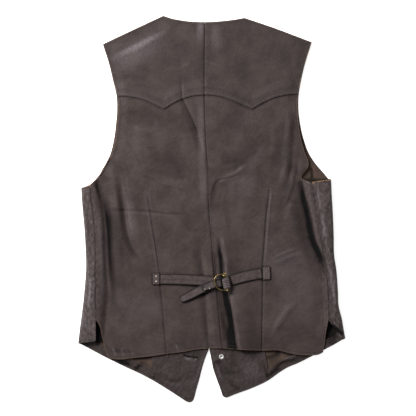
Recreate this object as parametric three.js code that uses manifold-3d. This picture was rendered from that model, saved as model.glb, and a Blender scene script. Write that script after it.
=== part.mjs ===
// A leather vest laid face down with its back up, in millimetres.
// +X is to the right of the back and +Y is towards the collar. The outer faces of the two
// fronts lie on z = 0, their sides roll over onto the back, and the back lies on top.

import * as THREE from 'three';
import { mergeVertices } from 'three/addons/utils/BufferGeometryUtils.js';
import Module from 'manifold-3d';

const wasm = await Module();
wasm.setup();

// Leather thicknesses and the gap kept at every seam and between the layers
const LEATHER = 1.5;
const FACING = 1.1;
const BELT = 1.6;
const GAP = 0.3;
const SEAM = 0.4;

// Heights above the floor: the back's usual outer face, and the least that the layers allow
const LIE = 6.8;
const PLAY = 0.4;
const LEAST_LIE = 2 * LEATHER + FACING + 2 * GAP + PLAY;

// The side of each front turns over in a half ellipse of this half width
const TURN = 6;

// The yoke laps over the top of the panels
const LAP = 9;
const LAP_SLOPE = 7;
const LAP_GAP = 0.3;

// Four buttons on the right front, each lifting the leather that lies over it
const BUTTON_RADIUS = 8.5;
const BUTTON_THICK = 1.6;
const BUTTON_X = 18.5;
const BUTTON_LOW_Y = -281;
const BUTTON_SPACING = 112;
const BUTTON_COUNT = 4;
const BUTTON_FLAT = 15;
const BUTTON_REACH = 30;
const BUTTON_LIFT = BUTTON_THICK + GAP + 0.1;
const STEM_RADIUS = 1.3;
const STEM_HOLE = 1.7;
const BACK_RING_RADIUS = 4.9;
const BACK_RING_THICK = 0.6;

// Buttonholes in the left front
const HOLE_LENGTH = 27;
const HOLE_WIDTH = 1.8;
const HOLE_X = -39.5;

// The brass buckle
const WIRE_RADIUS = 1.2;
const CURL_RADIUS = 2.9;
const BAR_RADIUS = 1.1;

const COLOUR = { back: 0x514846, yoke: 0x595150, front: 0x4d4442, inside: 0x403937, belt: 0x4e4644 };

// Lines that run down the garment: columns are y, x
const CENTRE = [
  [355, -13], [283, -14], [217, -14], [137, -12], [83, -8], [32, -7], [-21, -4],
  [-59, -1], [-112, 3], [-164, 10], [-207, 14], [-270, 20],
];
const LEFT_ARMHOLE = [
  [313, -207], [275, -195], [245, -188], [215, -181], [184, -180], [161, -182], [131, -186],
  [101, -194], [85, -202], [70, -210], [55, -222], [43, -235], [38, -241],
];
const RIGHT_ARMHOLE = [
  [317, 190], [275, 177], [245, 170], [215, 165], [184, 165], [161, 168], [131, 175],
  [101, 187], [85, 198], [70, 211], [58, 221],
];
const LEFT_BACK_EDGE = [
  [313, -207], [275, -195], [245, -187.5], [215, -179], [184, -177], [161, -179], [131, -183],
  [101, -191], [85, -199], [70, -207], [55, -220], [46, -230], [21, -229], [-2, -226], [-37, -222],
  [-101, -221], [-211, -220], [-218, -215], [-242, -208], [-266, -203], [-284, -196],
];
const RIGHT_BACK_EDGE = [
  [317, 190], [275, 177], [245, 169], [215, 163.5], [184, 163], [161, 165], [131, 170], [104, 178],
  [88, 184], [77, 184], [68, 177], [61, 175], [57, 182], [51, 191], [17, 194], [-17, 200],
  [-61, 207], [-101, 214], [-145, 220], [-209, 222], [-234, 217], [-259, 214], [-271, 212],
];
const LEFT_SIDE_SEAM = [
  [46, -230], [21, -229], [-2, -226], [-37, -222], [-101, -221], [-211, -220], [-256, -220],
];
const RIGHT_SIDE_SEAM = [
  [51, 191], [17, 194], [-17, 200], [-61, 207], [-101, 214], [-145, 220], [-209, 222], [-240, 224],
];
const LEFT_FOLD = [
  [36, -248], [17, -247], [-6, -245], [-40, -242], [-74, -240], [-112, -239], [-154, -242],
  [-192, -246], [-222, -250], [-256, -254],
];
const RIGHT_FOLD = [
  [58, 227], [32, 228], [-2, 230], [-51, 232], [-89, 233], [-116, 237], [-154, 240],
  [-188, 242], [-207, 247], [-230, 251], [-246, 254],
];
const LEFT_OPENING = [
  [367, -92], [220, -47], [75, -5], [-266, -5], [-280, -11], [-298, -17], [-325, -24],
  [-348, -32], [-360, -37], [-367, -42],
];
const RIGHT_OPENING = [
  [363, 62], [220, 31], [75, -4], [-266, -4], [-283, -1], [-304, 3], [-325, 10], [-341, 16],
  [-355, 22], [-362, 27],
];
const LEFT_DART = [
  [230, -122], [120, -124], [51, -125], [30, -124], [-21, -115], [-69, -107], [-117, -100],
  [-146, -98], [-207, -92], [-286, -86],
];
const RIGHT_DART = [
  [230, 112], [120, 110], [45, 109], [34, 110], [-2, 105], [-37, 102], [-80, 99], [-108, 97],
  [-154, 97], [-207, 96], [-275, 95],
];
const LEFT_TROUGH = [
  [230, -150], [140, -163], [53, -214], [25, -207], [-8, -200], [-37, -198], [-114, -196],
  [-154, -193], [-234, -192], [-286, -176],
];
const RIGHT_TROUGH = [
  [230, 142], [140, 150], [58, 166], [25, 173], [-8, 181], [-37, 187], [-61, 192], [-86, 203],
  [-117, 209], [-154, 210], [-209, 207], [-275, 190],
];
const LEFT_POINT = [[367, -92], [190, -91.5], [60, -74], [-100, -58], [-270, -45]];
const RIGHT_POINT = [[363, 62], [190, 76], [60, 66], [-100, 62], [-270, 76]];
const PLEAT_FOOT = [
  [230, 12], [120, 6], [-20, 6], [-74, 15], [-101, 18], [-125, 20], [-160, 27], [-207, 35], [-270, 43],
];
const PLEAT_CREST = [
  [230, 33], [120, 23], [-20, 18], [-74, 24], [-101, 29], [-125, 34], [-160, 38], [-207, 45], [-270, 54],
];

// Lines that run across it: columns are x, y
const YOKE_SEAM = [
  [-184, 215], [-159, 214], [-134, 209], [-114, 201], [-91.5, 190], [-68, 204], [-41, 214], [-14, 217],
  [16, 214], [47, 203], [76, 190], [99, 203], [120, 212], [143, 217], [166, 219],
];
const YOKE_POINTS = [-91.5, 76];
const COLLAR = [
  [-207, 313], [-150, 340], [-92, 367], [-77, 362], [-57, 358], [-13, 355], [31, 358], [46, 360],
  [62, 363], [107, 348], [190, 317],
];
const COLLAR_POINTS = [-92, 62];
const BACK_HEM = [
  [-220, -282], [-196, -284], [-174, -286], [-148, -283], [-117, -280], [-83, -275], [-51, -271],
  [-30, -267], [-6, -265], [23, -265], [50, -267], [99, -269], [128, -269], [151, -275],
  [180, -278], [207, -275], [212, -272],
];
const LEFT_FRONT_HEM = [
  [-254, -254], [-233, -265], [-199, -283], [-160, -302], [-136, -313], [-117, -323], [-79, -346],
  [-53, -363], [-45, -367], [-38, -366],
];
const RIGHT_FRONT_HEM = [
  [18, -358], [24, -362], [38, -355], [78, -340], [109, -325], [130, -310], [145, -301],
  [162, -294], [190, -280], [219, -265], [234, -257], [254, -245],
];

// Folds of the back: rise in height over the path, from its flat top out to each side.
// Paths run down the garment, so east is the side at the left hand of someone walking down.
// start and end are the shares of the path over which the fold grows and dies away.
const FOLDS = [
  { name: 'left side roll', rise: 5.6, flat: 12, west: 40, east: 14, start: 0, end: 0,
    path: [[-241, 64], [-236, 30], [-231, 0], [-227, -40], [-225, -100], [-225, -160], [-227, -215], [-232, -270]] },
  { name: 'left trough', rise: -3, flat: 2, west: 8, east: 26, start: 0.05, end: 0.35,
    path: [[-218, 58], [-207, 25], [-200, -8], [-198, -37], [-198, -74], [-196, -114], [-193, -154], [-197, -240]] },
  { name: 'left band beside the trough', rise: 2.4, flat: 0, west: 16, east: 14, start: 0.2, end: 0.4,
    path: [[-203, 112], [-192, 78], [-184, 55], [-181, 17], [-181, -60], [-178, -180]] },
  { name: 'left inner valley', rise: -1.8, flat: 0, west: 9, east: 7, start: 0.2, end: 0.3,
    path: [[-182, 60], [-174, 32], [-168, -2], [-163, -37], [-159, -61], [-152, -77], [-138, -92]] },
  { name: 'left inner ridge', rise: 3, flat: 0, west: 8, east: 34, start: 0.3, end: 0.35,
    path: [[-170, 66], [-161, 20], [-154, -21], [-150, -55], [-141, -88]] },
  { name: 'left chest swell', rise: 2, flat: 8, west: 30, east: 30, start: 0.35, end: 0.35,
    path: [[-58, 122], [-105, 128], [-155, 128]] },
  { name: 'left hollow under the yoke', rise: -1.5, flat: 3, west: 16, east: 20, start: 0.3, end: 0.3,
    path: [[-92, 160], [-132, 170], [-174, 168]] },
  { name: 'left hollow over the dart', rise: -1.6, flat: 4, west: 22, east: 26, start: 0.35, end: 0.35,
    path: [[-30, 55], [-70, 68], [-120, 96]] },
  { name: 'long crease', rise: -1.8, flat: 0, west: 12, east: 5, start: 0.3, end: 0.2,
    path: [[-57, 340], [-57, 267], [-57.5, 220], [-54, 205], [-41, 178], [-25, 137], [-13, 95]] },
  { name: 'valley left of the centre', rise: -1.6, flat: 0, west: 16, east: 6, start: 0.3, end: 0,
    path: [[-25, -36], [-21, -95], [-14, -154], [-10, -207], [-6, -280]] },
  { name: 'ridge left of the pleat', rise: 2.4, flat: 4, west: 9, east: 15, start: 0.35, end: 0,
    path: [[-8, -50], [-4, -110], [2, -160], [8, -207], [15, -280]] },
  { name: 'pleat valley', rise: -9, flat: 2.5, west: 15, east: 8, start: 0.35, end: 0,
    path: [[8, -36], [14, -74], [18, -101], [20, -125], [27, -160], [35, -207], [44, -280]] },
  { name: 'pleat crest above the belt', rise: 5, flat: 1, west: 8, east: 28, start: 0.45, end: 0.4,
    path: [[15, -38], [24, -74], [30, -100], [34, -132]] },
  { name: 'pleat crest below the belt', rise: 9, flat: 1.5, west: 9, east: 42, start: 0.4, end: 0,
    path: [[37, -136], [42, -165], [50, -207], [59, -280]] },
  { name: 'hollow right of the centre', rise: -1.5, flat: 2, west: 14, east: 14, start: 0.3, end: 0.3,
    path: [[58, 86], [32, 76], [10, 66]] },
  { name: 'ridge right of the centre', rise: 2.2, flat: 0, west: 9, east: 16, start: 0.25, end: 0.3,
    path: [[74, 84], [52, 71], [34, 61], [17, 50], [6, 30]] },
  { name: 'right swell under the yoke', rise: 1.8, flat: 8, west: 28, east: 28, start: 0.35, end: 0.35,
    path: [[125, 160], [80, 150], [35, 158]] },
  { name: 'right valley by the armhole', rise: -1.8, flat: 1, west: 12, east: 12, start: 0.3, end: 0.4,
    path: [[164, 112], [157, 64], [153, 44], [148, 25], [137, 0], [127, -40]] },
  { name: 'right ridge by the armhole', rise: 2.6, flat: 0, west: 11, east: 10, start: 0.3, end: 0.35,
    path: [[150, 190], [146, 120], [140, 70], [128, 22]] },
  { name: 'right inner valley', rise: -1.5, flat: 0, west: 14, east: 10, start: 0.3, end: 0.3,
    path: [[135, 165], [132, 131], [126, 97], [114, 62]] },
  { name: 'right trough', rise: -3, flat: 1.5, west: 26, east: 7, start: 0, end: 0.35,
    path: [[166, 64], [173, 25], [181, -8], [187, -37], [192, -61], [203, -86], [209, -117], [212, -170]] },
  { name: 'right side roll', rise: 6, flat: 18, west: 9, east: 40, start: 0, end: 0,
    path: [[203, 66], [205, 25], [211, -8], [216, -37], [221, -61], [229, -86], [235, -117],
      [238, -160], [241, -210], [246, -255]] },
  { name: 'right crease at the waist', rise: 1.6, flat: 0, west: 6, east: 16, start: 0.3, end: 0.3,
    path: [[168, -74], [145, -84], [112, -98]] },
  { name: 'right drag line over the hem', rise: 1.8, flat: 0, west: 11, east: 11, start: 0.3, end: 0.3,
    path: [[160, -172], [135, -205], [110, -246]] },
  { name: 'hem settling', rise: -1.4, flat: 0, west: 34, east: 34, start: 0, end: 0,
    path: [[-225, -290], [-117, -284], [-6, -270], [99, -274], [230, -276]] },
  { name: 'left shoulder edge', rise: -2, flat: 0, west: 28, east: 28, start: 0, end: 0,
    path: [[-215, 309], [-92, 367]] },
  { name: 'right shoulder edge', rise: -2, flat: 0, west: 28, east: 28, start: 0, end: 0,
    path: [[62, 363], [107, 348], [198, 314]] },
  { name: 'left armhole edge', rise: -1.6, flat: 0, west: 20, east: 20, start: 0.1, end: 0.1,
    path: [[-207, 313], [-188, 245], [-179, 190], [-183, 131], [-199, 85], [-215, 62]] },
  { name: 'right armhole edge', rise: -1.6, flat: 0, west: 20, east: 20, start: 0.1, end: 0.1,
    path: [[190, 317], [170, 245], [163, 190], [170, 131], [184, 88], [178, 70]] },
  { name: 'left dart stitching', rise: -0.9, flat: 0, west: 3, east: 3, start: 0.1, end: 0,
    path: [[-125, 51], [-124, 30], [-115, -21], [-107, -69], [-100, -117], [-98, -146], [-92, -207], [-86, -286]] },
  { name: 'right dart stitching', rise: -0.9, flat: 0, west: 3, east: 3, start: 0.1, end: 0,
    path: [[109, 45], [110, 34], [105, -2], [102, -37], [99, -80], [97, -108], [97, -154], [96, -207], [95, -275]] },
  { name: 'centre seam', rise: -0.8, flat: 0, west: 3, east: 3, start: 0, end: 0,
    path: CENTRE.map(([y, x]) => [x, y]) },
];

const clamp = (value) => Math.min(1, Math.max(0, value));
const ease = (value) => clamp(value) ** 2 * (3 - 2 * clamp(value));
const mix = (a, b, share) => a + (b - a) * share;

// A smooth function through a table's two columns; at a corner each side keeps its own slope
function through(table, corners = []) {
  const rows = [...table].sort((a, b) => a[0] - b[0]);
  const last = rows.length - 1;
  const step = (i) => (rows[i + 1][1] - rows[i][1]) / (rows[i + 1][0] - rows[i][0]);
  const slope = (i, after) => {
    if (i === 0) return step(0);
    if (i === last) return step(last - 1);
    if (corners.includes(rows[i][0])) return step(after ? i : i - 1);
    const before = rows[i][0] - rows[i - 1][0];
    const beyond = rows[i + 1][0] - rows[i][0];
    return (step(i - 1) * beyond + step(i) * before) / (before + beyond);
  };
  return (key) => {
    if (key <= rows[0][0]) return rows[0][1] + step(0) * (key - rows[0][0]);
    if (key >= rows[last][0]) return rows[last][1] + step(last - 1) * (key - rows[last][0]);
    const i = rows.findIndex((row) => row[0] >= key) - 1;
    const width = rows[i + 1][0] - rows[i][0];
    const t = (key - rows[i][0]) / width;
    const first = (2 * t ** 3 - 3 * t ** 2 + 1) * rows[i][1] + (3 * t ** 2 - 2 * t ** 3) * rows[i + 1][1];
    const bend = (t ** 3 - 2 * t ** 2 + t) * slope(i, true) + (t ** 3 - t ** 2) * slope(i + 1, false);
    return first + bend * width;
  };
}

// Points along a smooth path through [x, y, ...] rows, with every column carried along
function samplePath(rows, perSpan) {
  const at = (i) => rows[Math.min(rows.length - 1, Math.max(0, i))];
  const points = [];
  for (let i = 0; i < rows.length - 1; i += 1) {
    for (let k = 0; k < perSpan; k += 1) {
      const t = k / perSpan;
      points.push(at(i).map((value, column) => {
        const [before, next, beyond] = [at(i - 1)[column], at(i + 1)[column], at(i + 2)[column]];
        const linear = (next - before) * t;
        const square = (2 * before - 5 * value + 4 * next - beyond) * t ** 2;
        const cube = (3 * value - before - 3 * next + beyond) * t ** 3;
        return value + (linear + square + cube) / 2;
      }));
    }
  }
  points.push(rows[rows.length - 1]);
  return points;
}

// Where a point lies on a sampled path: signed distance, and share of its length
function placeOnPath(points, lengths, x, y) {
  let best = { distance: Infinity, side: 1, share: 0 };
  for (let i = 0; i < points.length - 1; i += 1) {
    const [ax, ay] = points[i];
    const [bx, by] = points[i + 1];
    const [dx, dy] = [bx - ax, by - ay];
    const t = clamp(((x - ax) * dx + (y - ay) * dy) / (dx * dx + dy * dy));
    const distance = Math.hypot(x - ax - dx * t, y - ay - dy * t);
    if (distance < best.distance) {
      const side = Math.sign(dx * (y - ay) - dy * (x - ax)) || 1;
      best = { distance, side, share: mix(lengths[i], lengths[i + 1], t) / lengths[lengths.length - 1] };
    }
  }
  return best;
}

function lengthsOf(points) {
  const lengths = [0];
  for (let i = 1; i < points.length; i += 1) {
    lengths.push(lengths[i - 1] + Math.hypot(points[i][0] - points[i - 1][0], points[i][1] - points[i - 1][1]));
  }
  return lengths;
}

// A fold's height at a point: an even swell across its path, tapered at both ends
function foldHeight(fold) {
  const points = samplePath(fold.path, 5);
  const lengths = lengthsOf(points);
  return (x, y) => {
    const { distance, side, share } = placeOnPath(points, lengths, x, y);
    const q = Math.max(0, distance - fold.flat) / (side > 0 ? fold.east : fold.west);
    if (q >= 1) return 0;
    const grow = fold.start > 0 ? ease(share / fold.start) : 1;
    const fade = fold.end > 0 ? ease((1 - share) / fold.end) : 1;
    return fold.rise * grow * fade * (1 - q * q) ** 2;
  };
}

const foldHeights = FOLDS.map(foldHeight);
const buttonYs = Array.from({ length: BUTTON_COUNT }, (_, i) => BUTTON_LOW_Y + BUTTON_SPACING * i);

// How far the buttons lift the leather over them, each at a flat spot widened by the slack
function buttonLift(x, y, slack = 0) {
  const fade = (offset) => 1 - ease((Math.abs(offset) - BUTTON_FLAT - slack) / (BUTTON_REACH - BUTTON_FLAT));
  return buttonYs.reduce((sum, buttonY) => sum + BUTTON_LIFT * fade(x - BUTTON_X) * fade(y - buttonY), 0);
}

// Height of the back's outer face: the folds, held up by the layers underneath
function backHeight(x, y) {
  const free = foldHeights.reduce((sum, height) => sum + height(x, y), LIE);
  const least = LEAST_LIE + 1.1 * buttonLift(x, y, 8);
  const softness = 0.8;
  return (free + least + Math.hypot(free - least, softness)) / 2;
}

function normalOf(height, x, y) {
  const reach = 0.5;
  const dx = (height(x + reach, y) - height(x - reach, y)) / (2 * reach);
  const dy = (height(x, y + reach) - height(x, y - reach)) / (2 * reach);
  return new THREE.Vector3(-dx, -dy, 1).normalize();
}

// A flat plan of points in rows from the collar down. Columns lie at shares between the lines
// that run down the piece, and each row is a curve across it.
function planGrid({ lines, columns, rows }) {
  const places = columns.flatMap((shares, span) => shares.map((share) => ({ span, share })));
  return rows.map((row) => places.map(({ span, share }) => {
    const across = (y) => mix(lines[span](y), lines[span + 1](y), share);
    let y = row(across(0));
    for (let i = 0; i < 60; i += 1) y = mix(y, row(across(y)), 0.5);
    return { x: across(y), y };
  }));
}

// Rows at shares of the way from one curve to another
function rowsBetween(top, bottom, shares) {
  return shares.map((share) => (x) => mix(top(x), bottom(x), share));
}

// Shares of the height between two curves: the given stops, filled in to a largest step
function rowShares(stops, largest) {
  const sorted = [...new Set([0, ...stops, 1])].sort((a, b) => a - b);
  return sorted.flatMap((stop, i) => {
    if (i === sorted.length - 1) return [stop];
    const parts = Math.max(1, Math.round((sorted[i + 1] - stop) / largest));
    return Array.from({ length: parts }, (_, k) => mix(stop, sorted[i + 1], k / parts));
  });
}

// The share at which a row passes a given height on a line
function shareAt(line, top, bottom, y) {
  const x = line(y);
  return (top(x) - y) / (top(x) - bottom(x));
}

function quadsOf(rowCount, columnCount) {
  const quads = [];
  for (let i = 0; i < rowCount - 1; i += 1) {
    for (let j = 0; j < columnCount - 1; j += 1) {
      const a = i * columnCount + j;
      quads.push([a, a + 1, a + columnCount + 1, a + columnCount]);
    }
  }
  return quads;
}

function geometryFrom(points, triangles) {
  const volume = triangles.reduce((sum, [a, b, c]) => (
    sum + points[a].dot(new THREE.Vector3().crossVectors(points[b], points[c]))), 0);
  const outward = volume > 0 ? triangles : triangles.map(([a, b, c]) => [a, c, b]);
  const geometry = new THREE.BufferGeometry();
  geometry.setAttribute('position', new THREE.Float32BufferAttribute(points.flatMap((p) => p.toArray()), 3));
  geometry.setIndex(outward.flat());
  return geometry;
}

// A closed wall: the outer points, the same points moved in by the thickness, and its edges
function wall(points, normals, quads, thickness) {
  const inner = points.map((point, i) => point.clone().addScaledVector(normals[i], -thickness));
  const count = points.length;
  const single = new Map();
  quads.forEach((quad) => quad.forEach((from, k) => {
    const to = quad[(k + 1) % 4];
    if (single.has(`${to},${from}`)) single.delete(`${to},${from}`);
    else single.set(`${from},${to}`, [from, to]);
  }));
  const rims = [...single.values()].map(([from, to]) => [to, from, from + count, to + count]);
  const split = ([a, b, c, d]) => [[a, b, c], [a, c, d]];
  const outside = quads.flatMap(split);
  const inside = outside.map(([a, b, c]) => [c + count, b + count, a + count]);
  return geometryFrom([...points, ...inner], [...outside, ...inside, ...rims.flatMap(split)]);
}

// A closed tube through sections of equal point counts, each a ring of points
function loft(sections) {
  const count = sections[0].length;
  const points = sections.flat();
  const triangles = [];
  for (let s = 0; s < sections.length - 1; s += 1) {
    for (let k = 0; k < count; k += 1) {
      const a = s * count + k;
      const b = s * count + ((k + 1) % count);
      triangles.push([a, b, b + count], [a, b + count, a + count]);
    }
  }
  const end = (sections.length - 1) * count;
  for (let k = 1; k < count - 1; k += 1) triangles.push([0, k + 1, k], [end, end + k, end + k + 1]);
  return geometryFrom(points, triangles);
}

const group = new THREE.Group();

function add(name, geometry, colour, roughness = 0.5, metalness = 0) {
  const mesh = new THREE.Mesh(geometry, new THREE.MeshStandardMaterial({ color: colour, roughness, metalness }));
  mesh.name = name;
  group.add(mesh);
  return mesh;
}

function solidOf(geometry) {
  const bare = geometry.clone();
  bare.deleteAttribute('normal');
  bare.deleteAttribute('uv');
  const merged = mergeVertices(bare, 1e-4);
  const mesh = new wasm.Mesh({
    numProp: 3,
    vertProperties: new Float32Array(merged.attributes.position.array),
    triVerts: new Uint32Array(merged.index.array),
  });
  return new wasm.Manifold(mesh);
}

function geometryOf(solid) {
  const mesh = solid.getMesh();
  const geometry = new THREE.BufferGeometry();
  geometry.setAttribute('position', new THREE.BufferAttribute(new Float32Array(mesh.vertProperties), 3));
  geometry.setIndex(new THREE.BufferAttribute(new Uint32Array(mesh.triVerts), 1));
  return geometry;
}

function cutFrom(geometry, cutters) {
  return geometryOf(cutters.reduce((solid, cutter) => solid.subtract(solidOf(cutter)), solidOf(geometry)));
}

const centre = through(CENTRE);
const yokeSeam = through(YOKE_SEAM, YOKE_POINTS);
const collar = through(COLLAR, COLLAR_POINTS);
const backHem = through(BACK_HEM);
const besideCentre = (offset) => (y) => centre(y) + offset;

// Each half of the back: its edge stands in from the side seam below the height it starts at
const LEFT_HALF = {
  lines: [
    besideSeam(through(LEFT_BACK_EDGE, [46, -211]), 47, SEAM / 2),
    through(LEFT_TROUGH), through(LEFT_DART), through(LEFT_POINT), besideCentre(-SEAM / 2),
  ],
  columns: [
    [0, 0.3, 0.6, 0.82], [0, 0.1, 0.24, 0.4, 0.58, 0.78, 0.96], [0, 0.08, 0.5],
    [0, 0.33, 0.66, 0.85, 0.965, 1],
  ],
  stops: [70, 46, -211],
};
const RIGHT_HALF = {
  lines: [
    besideCentre(SEAM / 2), through(PLEAT_FOOT), through(PLEAT_CREST), through(RIGHT_POINT), through(RIGHT_DART),
    through(RIGHT_TROUGH), besideSeam(through(RIGHT_BACK_EDGE, [61, 51, -209]), 52, -SEAM / 2),
  ],
  columns: [
    [0, 0.16, 0.5], [0, 0.4, 0.75], [0, 0.25, 0.6], [0, 0.5, 0.92], [0, 0.04, 0.25, 0.5, 0.75, 0.92],
    [0, 0.3, 0.62, 1],
  ],
  stops: [77, 61, 51, -209],
};

function besideSeam(edge, startY, offset) {
  return (y) => edge(y) + (y < startY ? offset : 0);
}

// One piece of the back: a wall over its plan, with its outer face on the back's height
function backPiece(name, plan, colour, raise = () => 0) {
  const height = (x, y) => backHeight(x, y) + raise(x, y);
  const flat = plan.flat();
  const points = flat.map(({ x, y }) => new THREE.Vector3(x, y, height(x, y)));
  const normals = flat.map(({ x, y }) => normalOf(height, x, y));
  add(name, wall(points, normals, quadsOf(plan.length, plan[0].length), LEATHER), colour);
}

// Half of the yoke, stepped up where it laps over the panel, and the panel below it
function makeHalf(side, { lines, columns, stops }) {
  const lapEdge = (x) => yokeSeam(x) + LAP;
  const lapEnd = (x) => yokeSeam(x) + LAP + LAP_SLOPE;
  const raise = (x, y) => (LEATHER + LAP_GAP) * (1 - ease((y - lapEdge(x)) / LAP_SLOPE));
  const yokeRows = [...rowsBetween(collar, lapEnd, [0, 0.08, 0.22, 0.4, 0.6, 0.8, 1]), lapEdge, yokeSeam];
  backPiece(`back_yoke_${side}`, planGrid({ lines, columns, rows: yokeRows }), COLOUR.yoke, raise);
  const edge = side === 'left' ? lines[0] : lines[lines.length - 1];
  const shares = rowShares(stops.map((y) => shareAt(edge, yokeSeam, backHem, y)), 0.036);
  const panelRows = [lapEdge, ...rowsBetween(yokeSeam, backHem, shares)];
  backPiece(`back_panel_${side}`, planGrid({ lines, columns, rows: panelRows }), COLOUR.back);
}

// One front. Its plan lies on the floor from the opening to the side, and from the armpit down
// it turns over the side and runs on over the back to the side seam.
class Front {
  constructor({ side, outward, fold, armhole, opening, hem, facingEdge, seam, armpit, stripTop, stripFoot, stripCurve }) {
    Object.assign(this, { side, outward, fold, armhole, seam, armpit, stripTop, stripFoot, stripCurve });
    this.lift = outward > 0 ? buttonLift : () => 0;
    this.hem = hem;
    this.outer = (y) => (y < armpit ? fold(y) - outward * TURN : armhole(y));
    const stops = [shareAt(this.outer, collar, hem, armpit), 0.957, 0.98];
    const buttonStops = buttonYs.flatMap((y) => [-15, 0, 15].map((offset) => (
      shareAt(() => BUTTON_X, collar, hem, y + offset))));
    this.rows = rowShares(outward > 0 ? [...stops, ...buttonStops] : stops, 0.04);
    this.columns = outward > 0
      ? [[0, 0.3, 0.65], [0, 0.5, 0.78], [0, 0.1, 0.4, 0.72, 1]]
      : [[0, 0.3, 0.65], [0, 0.5, 1]];
    const lines = [this.outer, facingEdge, ...(outward > 0 ? [this.besideOpening(opening, 40)] : []), opening];
    this.plan = planGrid({ lines, columns: this.columns, rows: rowsBetween(collar, hem, this.rows) });
    this.width = this.plan[0].length;
    this.facingColumn = this.columns[0].length;
  }

  // A line that keeps a set distance from the opening edge
  besideOpening(opening, distance) {
    return (y) => opening(Math.min(75, Math.max(-266, y))) + this.outward * distance
      + (opening(y) - opening(Math.min(75, Math.max(-266, y)))) * 0.8;
  }

  floorNormal(x, y) {
    return normalOf((px, py) => this.lift(px, py), x, y).negate();
  }

  makeShell() {
    const flat = this.plan.flat();
    const points = flat.map(({ x, y }) => new THREE.Vector3(x, y, this.lift(x, y)));
    const normals = flat.map(({ x, y }) => this.floorNormal(x, y));
    const quads = quadsOf(this.plan.length, this.width).map((quad) => quad.reverse());
    const firstRow = this.plan.findIndex((row) => row[0].y <= this.armpit + 0.01);
    const turn = [0.17, 0.34, 0.5, 0.66, 0.83, 1];
    const over = [0.3, 0.65, 1];
    const span = turn.length + over.length;
    const [topY, footY] = [this.plan[firstRow][0].y, this.plan[this.plan.length - 1][0].y];
    let previous = null;
    for (let i = firstRow; i < this.plan.length; i += 1) {
      const start = this.plan[i][0];
      const seamY = mix(this.stripTop, this.stripFoot, (topY - start.y) / (topY - footY));
      const ring = [i * this.width];
      for (let k = 1; k <= span; k += 1) {
        const y = mix(start.y, seamY, (k / span) ** this.stripCurve);
        const centreX = this.fold(y) - this.outward * TURN;
        if (k <= turn.length) {
          const angle = Math.PI * turn[k - 1];
          const half = backHeight(centreX, y) / 2;
          points.push(new THREE.Vector3(centreX + this.outward * TURN * Math.sin(angle), y, half * (1 - Math.cos(angle))));
          normals.push(new THREE.Vector3(this.outward * Math.sin(angle) / TURN, 0, -Math.cos(angle) / half).normalize());
        } else {
          const x = mix(centreX, this.seam(y) + this.outward * SEAM / 2, over[k - turn.length - 1]);
          points.push(new THREE.Vector3(x, y, backHeight(x, y)));
          normals.push(normalOf(backHeight, x, y));
        }
        ring.push(points.length - 1);
      }
      if (previous) {
        for (let k = 0; k < span; k += 1) quads.push([previous[k], previous[k + 1], ring[k + 1], ring[k]]);
      }
      previous = ring;
    }
    return wall(points, normals, quads, LEATHER);
  }

  // A lining of thinner leather over some of the front's rows and columns
  makeFacing(rowFrom, columnFrom, columnTo) {
    const part = this.plan.slice(rowFrom).map((row) => row.slice(columnFrom, columnTo + 1));
    const flat = part.flat();
    const normals = flat.map(({ x, y }) => this.floorNormal(x, y));
    const points = flat.map(({ x, y }, i) => (
      new THREE.Vector3(x, y, this.lift(x, y)).addScaledVector(normals[i], -LEATHER - GAP)));
    return wall(points, normals, quadsOf(part.length, part[0].length).map((quad) => quad.reverse()), FACING);
  }

  frontFacing() {
    return this.makeFacing(0, this.facingColumn, this.width - 1);
  }

  // The hem's facing stops short of the front's facing by the seam gap
  hemFacing() {
    const rowFrom = this.rows.findIndex((share) => share > 0.956);
    const saved = this.plan;
    this.plan = saved.map((row) => row.map((point, j) => (
      j === this.facingColumn ? { x: point.x + this.outward * GAP, y: point.y } : point)));
    const geometry = this.makeFacing(rowFrom, 0, this.facingColumn);
    this.plan = saved;
    return geometry;
  }
}

const leftFront = new Front({
  side: 'left',
  outward: -1,
  fold: through(LEFT_FOLD),
  armhole: through(LEFT_ARMHOLE),
  opening: through(LEFT_OPENING, [75, -266]),
  hem: through(LEFT_FRONT_HEM),
  facingEdge: through([[367, -150], [200, -125], [75, -116], [-323, -114], [-367, -114]]),
  seam: through(LEFT_SIDE_SEAM),
  armpit: 37,
  stripTop: 46,
  stripFoot: -251,
  stripCurve: 1,
});
const rightFront = new Front({
  side: 'right',
  outward: 1,
  fold: through(RIGHT_FOLD),
  armhole: through(RIGHT_ARMHOLE),
  opening: through(RIGHT_OPENING, [75, -266]),
  hem: through(RIGHT_FRONT_HEM),
  facingEdge: through([[367, 128], [200, 108], [75, 100], [-268, 100], [-290, 104], [-367, 114]]),
  seam: through(RIGHT_SIDE_SEAM),
  armpit: 57,
  stripTop: 51,
  stripFoot: -212,
  stripCurve: 1.7,
});

// The left front with its buttonholes, and the right front with holes for the button stems
function makeFronts() {
  const slits = buttonYs.map((y) => {
    const slit = new THREE.BoxGeometry(HOLE_LENGTH, HOLE_WIDTH, 8);
    slit.translate(HOLE_X, y, 2);
    return slit;
  });
  const stemHoles = buttonYs.map((y) => {
    const hole = new THREE.CylinderGeometry(STEM_HOLE, STEM_HOLE, 12, 10);
    hole.rotateX(Math.PI / 2);
    hole.translate(BUTTON_X, y, 2);
    return hole;
  });
  add('front_left', cutFrom(leftFront.makeShell(), slits), COLOUR.front);
  add('front_right', cutFrom(rightFront.makeShell(), stemHoles), COLOUR.front);
  add('facing_left', cutFrom(leftFront.frontFacing(), slits), COLOUR.inside);
  add('facing_right', cutFrom(rightFront.frontFacing(), stemHoles), COLOUR.inside);
  add('hem_facing_left', leftFront.hemFacing(), COLOUR.inside);
  add('hem_facing_right', rightFront.hemFacing(), COLOUR.inside);
}

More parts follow.
